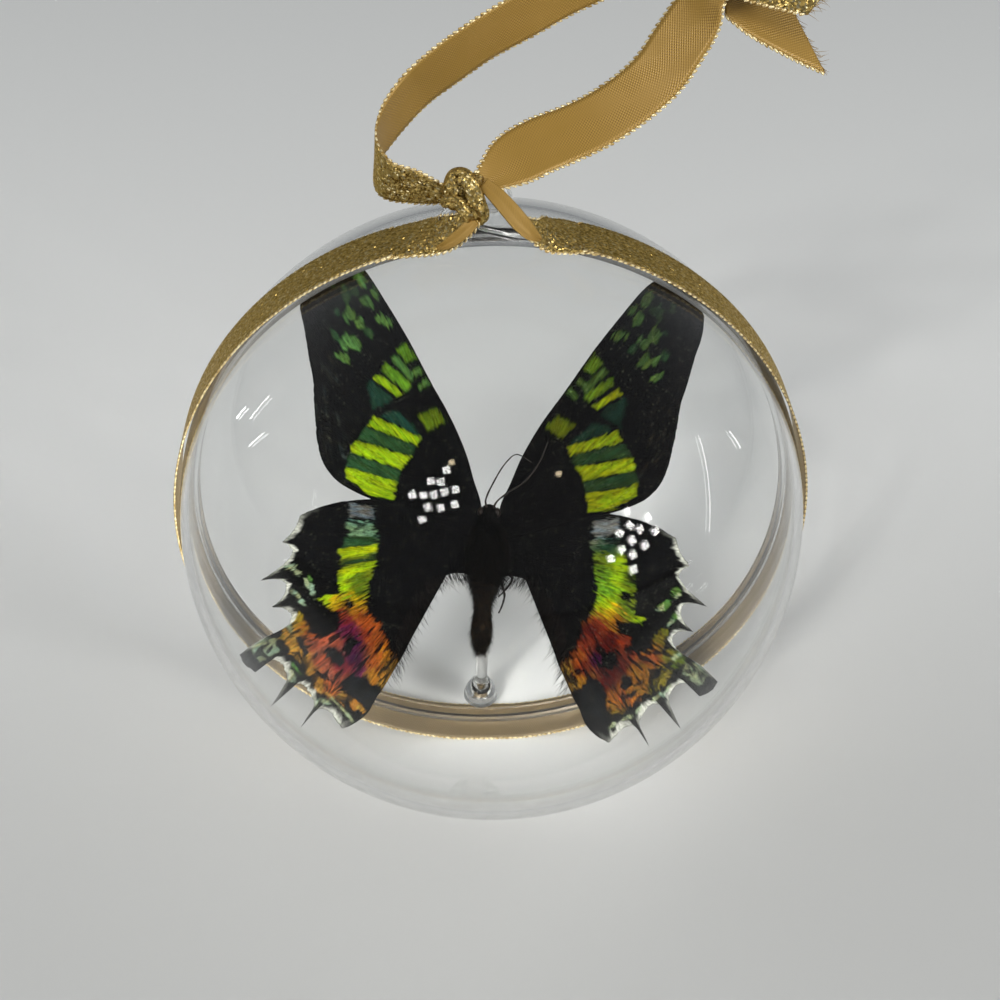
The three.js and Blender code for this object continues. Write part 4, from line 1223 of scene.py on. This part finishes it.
def addLoop(withPieces):
    route = curveThrough(leftStrand + throughBow + rightStrand[::-1], loop["steps"], 3)
    centre, facing, width = route[:, :3], route[:, 3:6], route[:, 6]
    print("hanging loop is", round(lengthOf(centre), 1), "mm long")
    pieceMesh = makeMesh("hanging_loop", strip(centre, facing, width, cup=0.5 * (1 - width / 9.0)))
    piece = addPiece("hanging_loop", pieceMesh, ribbonLooks, "gold_satin", "left_strand", "right_strand")


tails = dict(  # rows as above, how far the cut end slants, and the slot
    glitter_tail=([(31.0, 11.6, 83.6, 0.1, 0.6, -0.6, 5.4), (34.4, 11.6, 83.2, 0.1, 0.6, -0.6, 8.0),
                   (39.0, 11.6, 82.5, 0.1, 0.6, -0.6, 9.0), (42.6, 11.6, 81.6, 0.1, 0.6, -0.6, 9.0),
                   (46.2, 11.6, 80.6, 0.1, 0.6, -0.6, 8.8)], 2.4, "gold_glitter"),
    satin_tail=([(32.6, 15.0, 78.0, 0.1, -0.6, 0.6, 4.4), (35.8, 16.0, 76.6, 0.1, -0.6, 0.6, 7.0),
                 (40.5, 16.6, 74.6, 0.1, -0.6, 0.6, 8.6),
                 (45.2, 17.0, 72.4, 0.1, -0.6, 0.6, 8.6)], 4.6, "gold_satin"))
fray = dict(count=46, length=1.5, thickness=0.05)


def frayed(route, slant):
    # loose threads along the cut end
    spread = rng.normal(0, 1, (fray["count"], 3))
    ahead = unit(route[-1, :3] - route[-2, :3])
    across = unit(np.cross(ahead, route[-1, 3:6]))
    w = np.linspace(-0.96, 0.96, fray["count"])[:, None]
    roots = route[-1, :3] - 0.15 * ahead + across * w * route[-1, 6] / 2 + ahead * w * slant
    lie = ahead + across * 0.1 * slant / abs(slant) + 0.25 * spread
    lengths = fray["length"] * rng.uniform(0.3, 1.3, fray["count"])
    made = hairs(roots, lie, lengths, fray["thickness"], 0.2 * spread, np.ones((fray["count"], 3)))
    made["look"] = np.full(len(made["quads"]), 1)
    return made


def addTails():
    made = []
    for name, (points, slant, slotName) in tails.items():
        route = curveThrough(points, 60, 3)
        surfaces = strip(route[:, :3], route[:, 3:6], route[:, 6], slant=slant) + [frayed(route, slant)]
        made.append(addPiece(name, makeMesh(name, surfaces), ribbonLooks, slotName, name))
    return made


# Knots: lengths of bunched ribbon laid over each other, each with its radius
gatheredSteps = 70  # rows along each length of a knot or lead
knots = dict(
    ribbon_knot=[
        (1.2, [(-6.6, -3.8, 56.8), (-6.5, -4.2, 58.8), (-5.7, -4.4, 60.4), (-4.5, -4.8, 60.5),
               (-3.4, -5.2, 58.9), (-2.7, -5.3, 56.9), (-2.2, -4.9, 54.8), (-2.4, -4.0, 53.2)]),
        (1.05, [(-7.6, -3.2, 56.0), (-6.6, -4.2, 56.6), (-5.4, -4.8, 56.6), (-4.2, -5.2, 55.6),
                (-3.4, -4.8, 54.0)]),
        (1.05, [(-2.2, -2.4, 58.4), (-3.2, -3.4, 59.4), (-4.3, -4.0, 59.4), (-5.4, -4.2, 58.4),
                (-6.0, -3.6, 56.8)]),
        (1.5, [(-5.8, -2.6, 58.0), (-4.6, -2.6, 58.6), (-3.4, -2.8, 57.0), (-3.6, -3.0, 54.6)])],
    bow_knot=[
        (1.6, [(28.4, 12.8, 85.4), (30.2, 11.4, 86.2), (32.4, 11.2, 85.6), (34.0, 12.4, 84.2)]),
        (1.6, [(29.8, 12.6, 81.8), (30.6, 11.6, 83.0), (31.8, 11.2, 84.4), (32.6, 12.0, 86.2),
               (32.0, 13.8, 86.8)]),
        (1.8, [(29.6, 13.4, 84.6), (31.4, 13.8, 83.4), (32.6, 14.6, 81.4), (32.6, 15.0, 79.0)])])


def bunched(points, radius, seed):
    # a tube whose section is pulled into folds that wind along it, closed at both ends
    path = curveThrough(points, gatheredSteps)
    ahead = unit(np.gradient(path, axis=0))
    side = unit(np.cross(ahead, [0.2, -0.95, 0.2]))
    other = np.cross(ahead, side)
    s, angle = np.linspace(0, 1, gatheredSteps)[:, None], np.linspace(0, 2 * np.pi, 72, endpoint=False)[None]
    ends = np.sqrt(1 - np.abs(2 * s - 1) ** 5)
    fold = 0.9 + 0.16 * np.abs(np.sin(2.5 * angle + 2.6 * s + seed))
    fold += 0.12 * np.sin(4 * angle - 5 * s + 2 * seed)
    r = radius * ends * fold
    points = (path[:, None] + side[:, None] * (r * np.cos(angle))[..., None]
              + other[:, None] * (0.85 * r * np.sin(angle))[..., None])
    lay = np.stack(np.broadcast_arrays(s * lengthOf(path), angle * radius, 0 * angle), -1)
    return surface(points, wrapCols=True, lay=lay)


def addKnots():
    made = []
    for name, lengths in knots.items():
        surfaces = [bunched(points, radius, seed) for seed, (radius, points) in enumerate(lengths)]
        made.append(addPiece(name, makeMesh(name, surfaces), ribbonLooks, "gold_glitter", name))
    return made


# Ends of the band, gathered on their way to the knot: one length shows glitter, the other satin
leads = dict(
    ribbon_left_lead=[
        [(-17.2, 0.0, 47.66, 0.34, 0.0, -0.94, 8.7), (-15.2, 0.0, 48.33, 0.3, 0.0, -0.95, 8.7),
         (-13.2, -0.3, 48.98, 0.22, 0.08, -0.96, 8.5), (-11.1, -1.5, 50.0, 0.12, 0.32, -0.92, 7.4),
         (-9.1, -3.0, 50.95, 0.1, 0.55, -0.8, 6.0), (-7.2, -4.1, 51.8, 0.1, 0.7, -0.7, 5.0),
         (-5.6, -4.7, 52.8, 0.1, 0.75, -0.65, 4.0), (-4.2, -5.0, 53.9, 0.1, 0.75, -0.6, 3.0),
         (-3.2, -4.9, 55.0, 0.1, 0.75, -0.6, 2.2)],
        [(-8.4, -5.5, 50.1, -0.3, -0.75, 0.55, 0.4), (-7.2, -5.9, 50.8, -0.3, -0.8, 0.5, 1.2),
         (-5.8, -6.0, 51.8, -0.3, -0.8, 0.5, 1.7), (-4.4, -5.9, 53.0, -0.3, -0.8, 0.5, 1.8),
         (-3.0, -5.4, 54.4, -0.3, -0.8, 0.5, 1.6)]],
    ribbon_right_lead=[
        [(14.6, 0.0, 48.52, -0.29, 0.0, -0.96, 8.7), (12.7, 0.0, 49.04, -0.25, 0.0, -0.97, 8.7),
         (10.9, -0.5, 49.6, -0.15, 0.15, -0.97, 8.0), (9.0, -1.9, 50.4, -0.1, 0.42, -0.87, 6.7),
         (7.2, -3.3, 51.2, -0.1, 0.6, -0.75, 5.2), (5.8, -4.1, 52.1, -0.15, 0.7, -0.65, 3.4),
         (4.6, -4.4, 53.2, -0.2, 0.7, -0.6, 1.8), (3.8, -4.4, 54.1, -0.2, 0.75, -0.6, 0.6)],
        [(-2.0, -3.2, 58.8, 0.5, -0.75, 0.4, 1.8), (-0.4, -4.0, 57.6, 0.5, -0.75, 0.4, 2.4),
         (1.4, -4.7, 55.8, 0.5, -0.75, 0.4, 2.7), (3.2, -5.2, 53.8, 0.5, -0.75, 0.4, 2.7),
         (4.8, -5.4, 52.2, 0.4, -0.75, 0.5, 2.0), (6.2, -5.2, 51.1, 0.3, -0.7, 0.6, 0.4)]])


def addLeads():
    # the first length has its beaded edges, the second is the bare strip
    for name, lengths in leads.items():
        routes = [curveThrough(points, gatheredSteps, 3) for points in lengths]
        first, second = [strip(route[:, :3], route[:, 3:6], route[:, 6], cup=0.25) for route in routes]
        surfaces = first + second[:1]
        addPiece(name, makeMesh(name, surfaces), ribbonLooks, "gold_satin", name)


addBand()
addLeads()
bowKnot = addKnots()[-1]
addLoop([bowKnot, *addTails()])
print("ribbon tied")
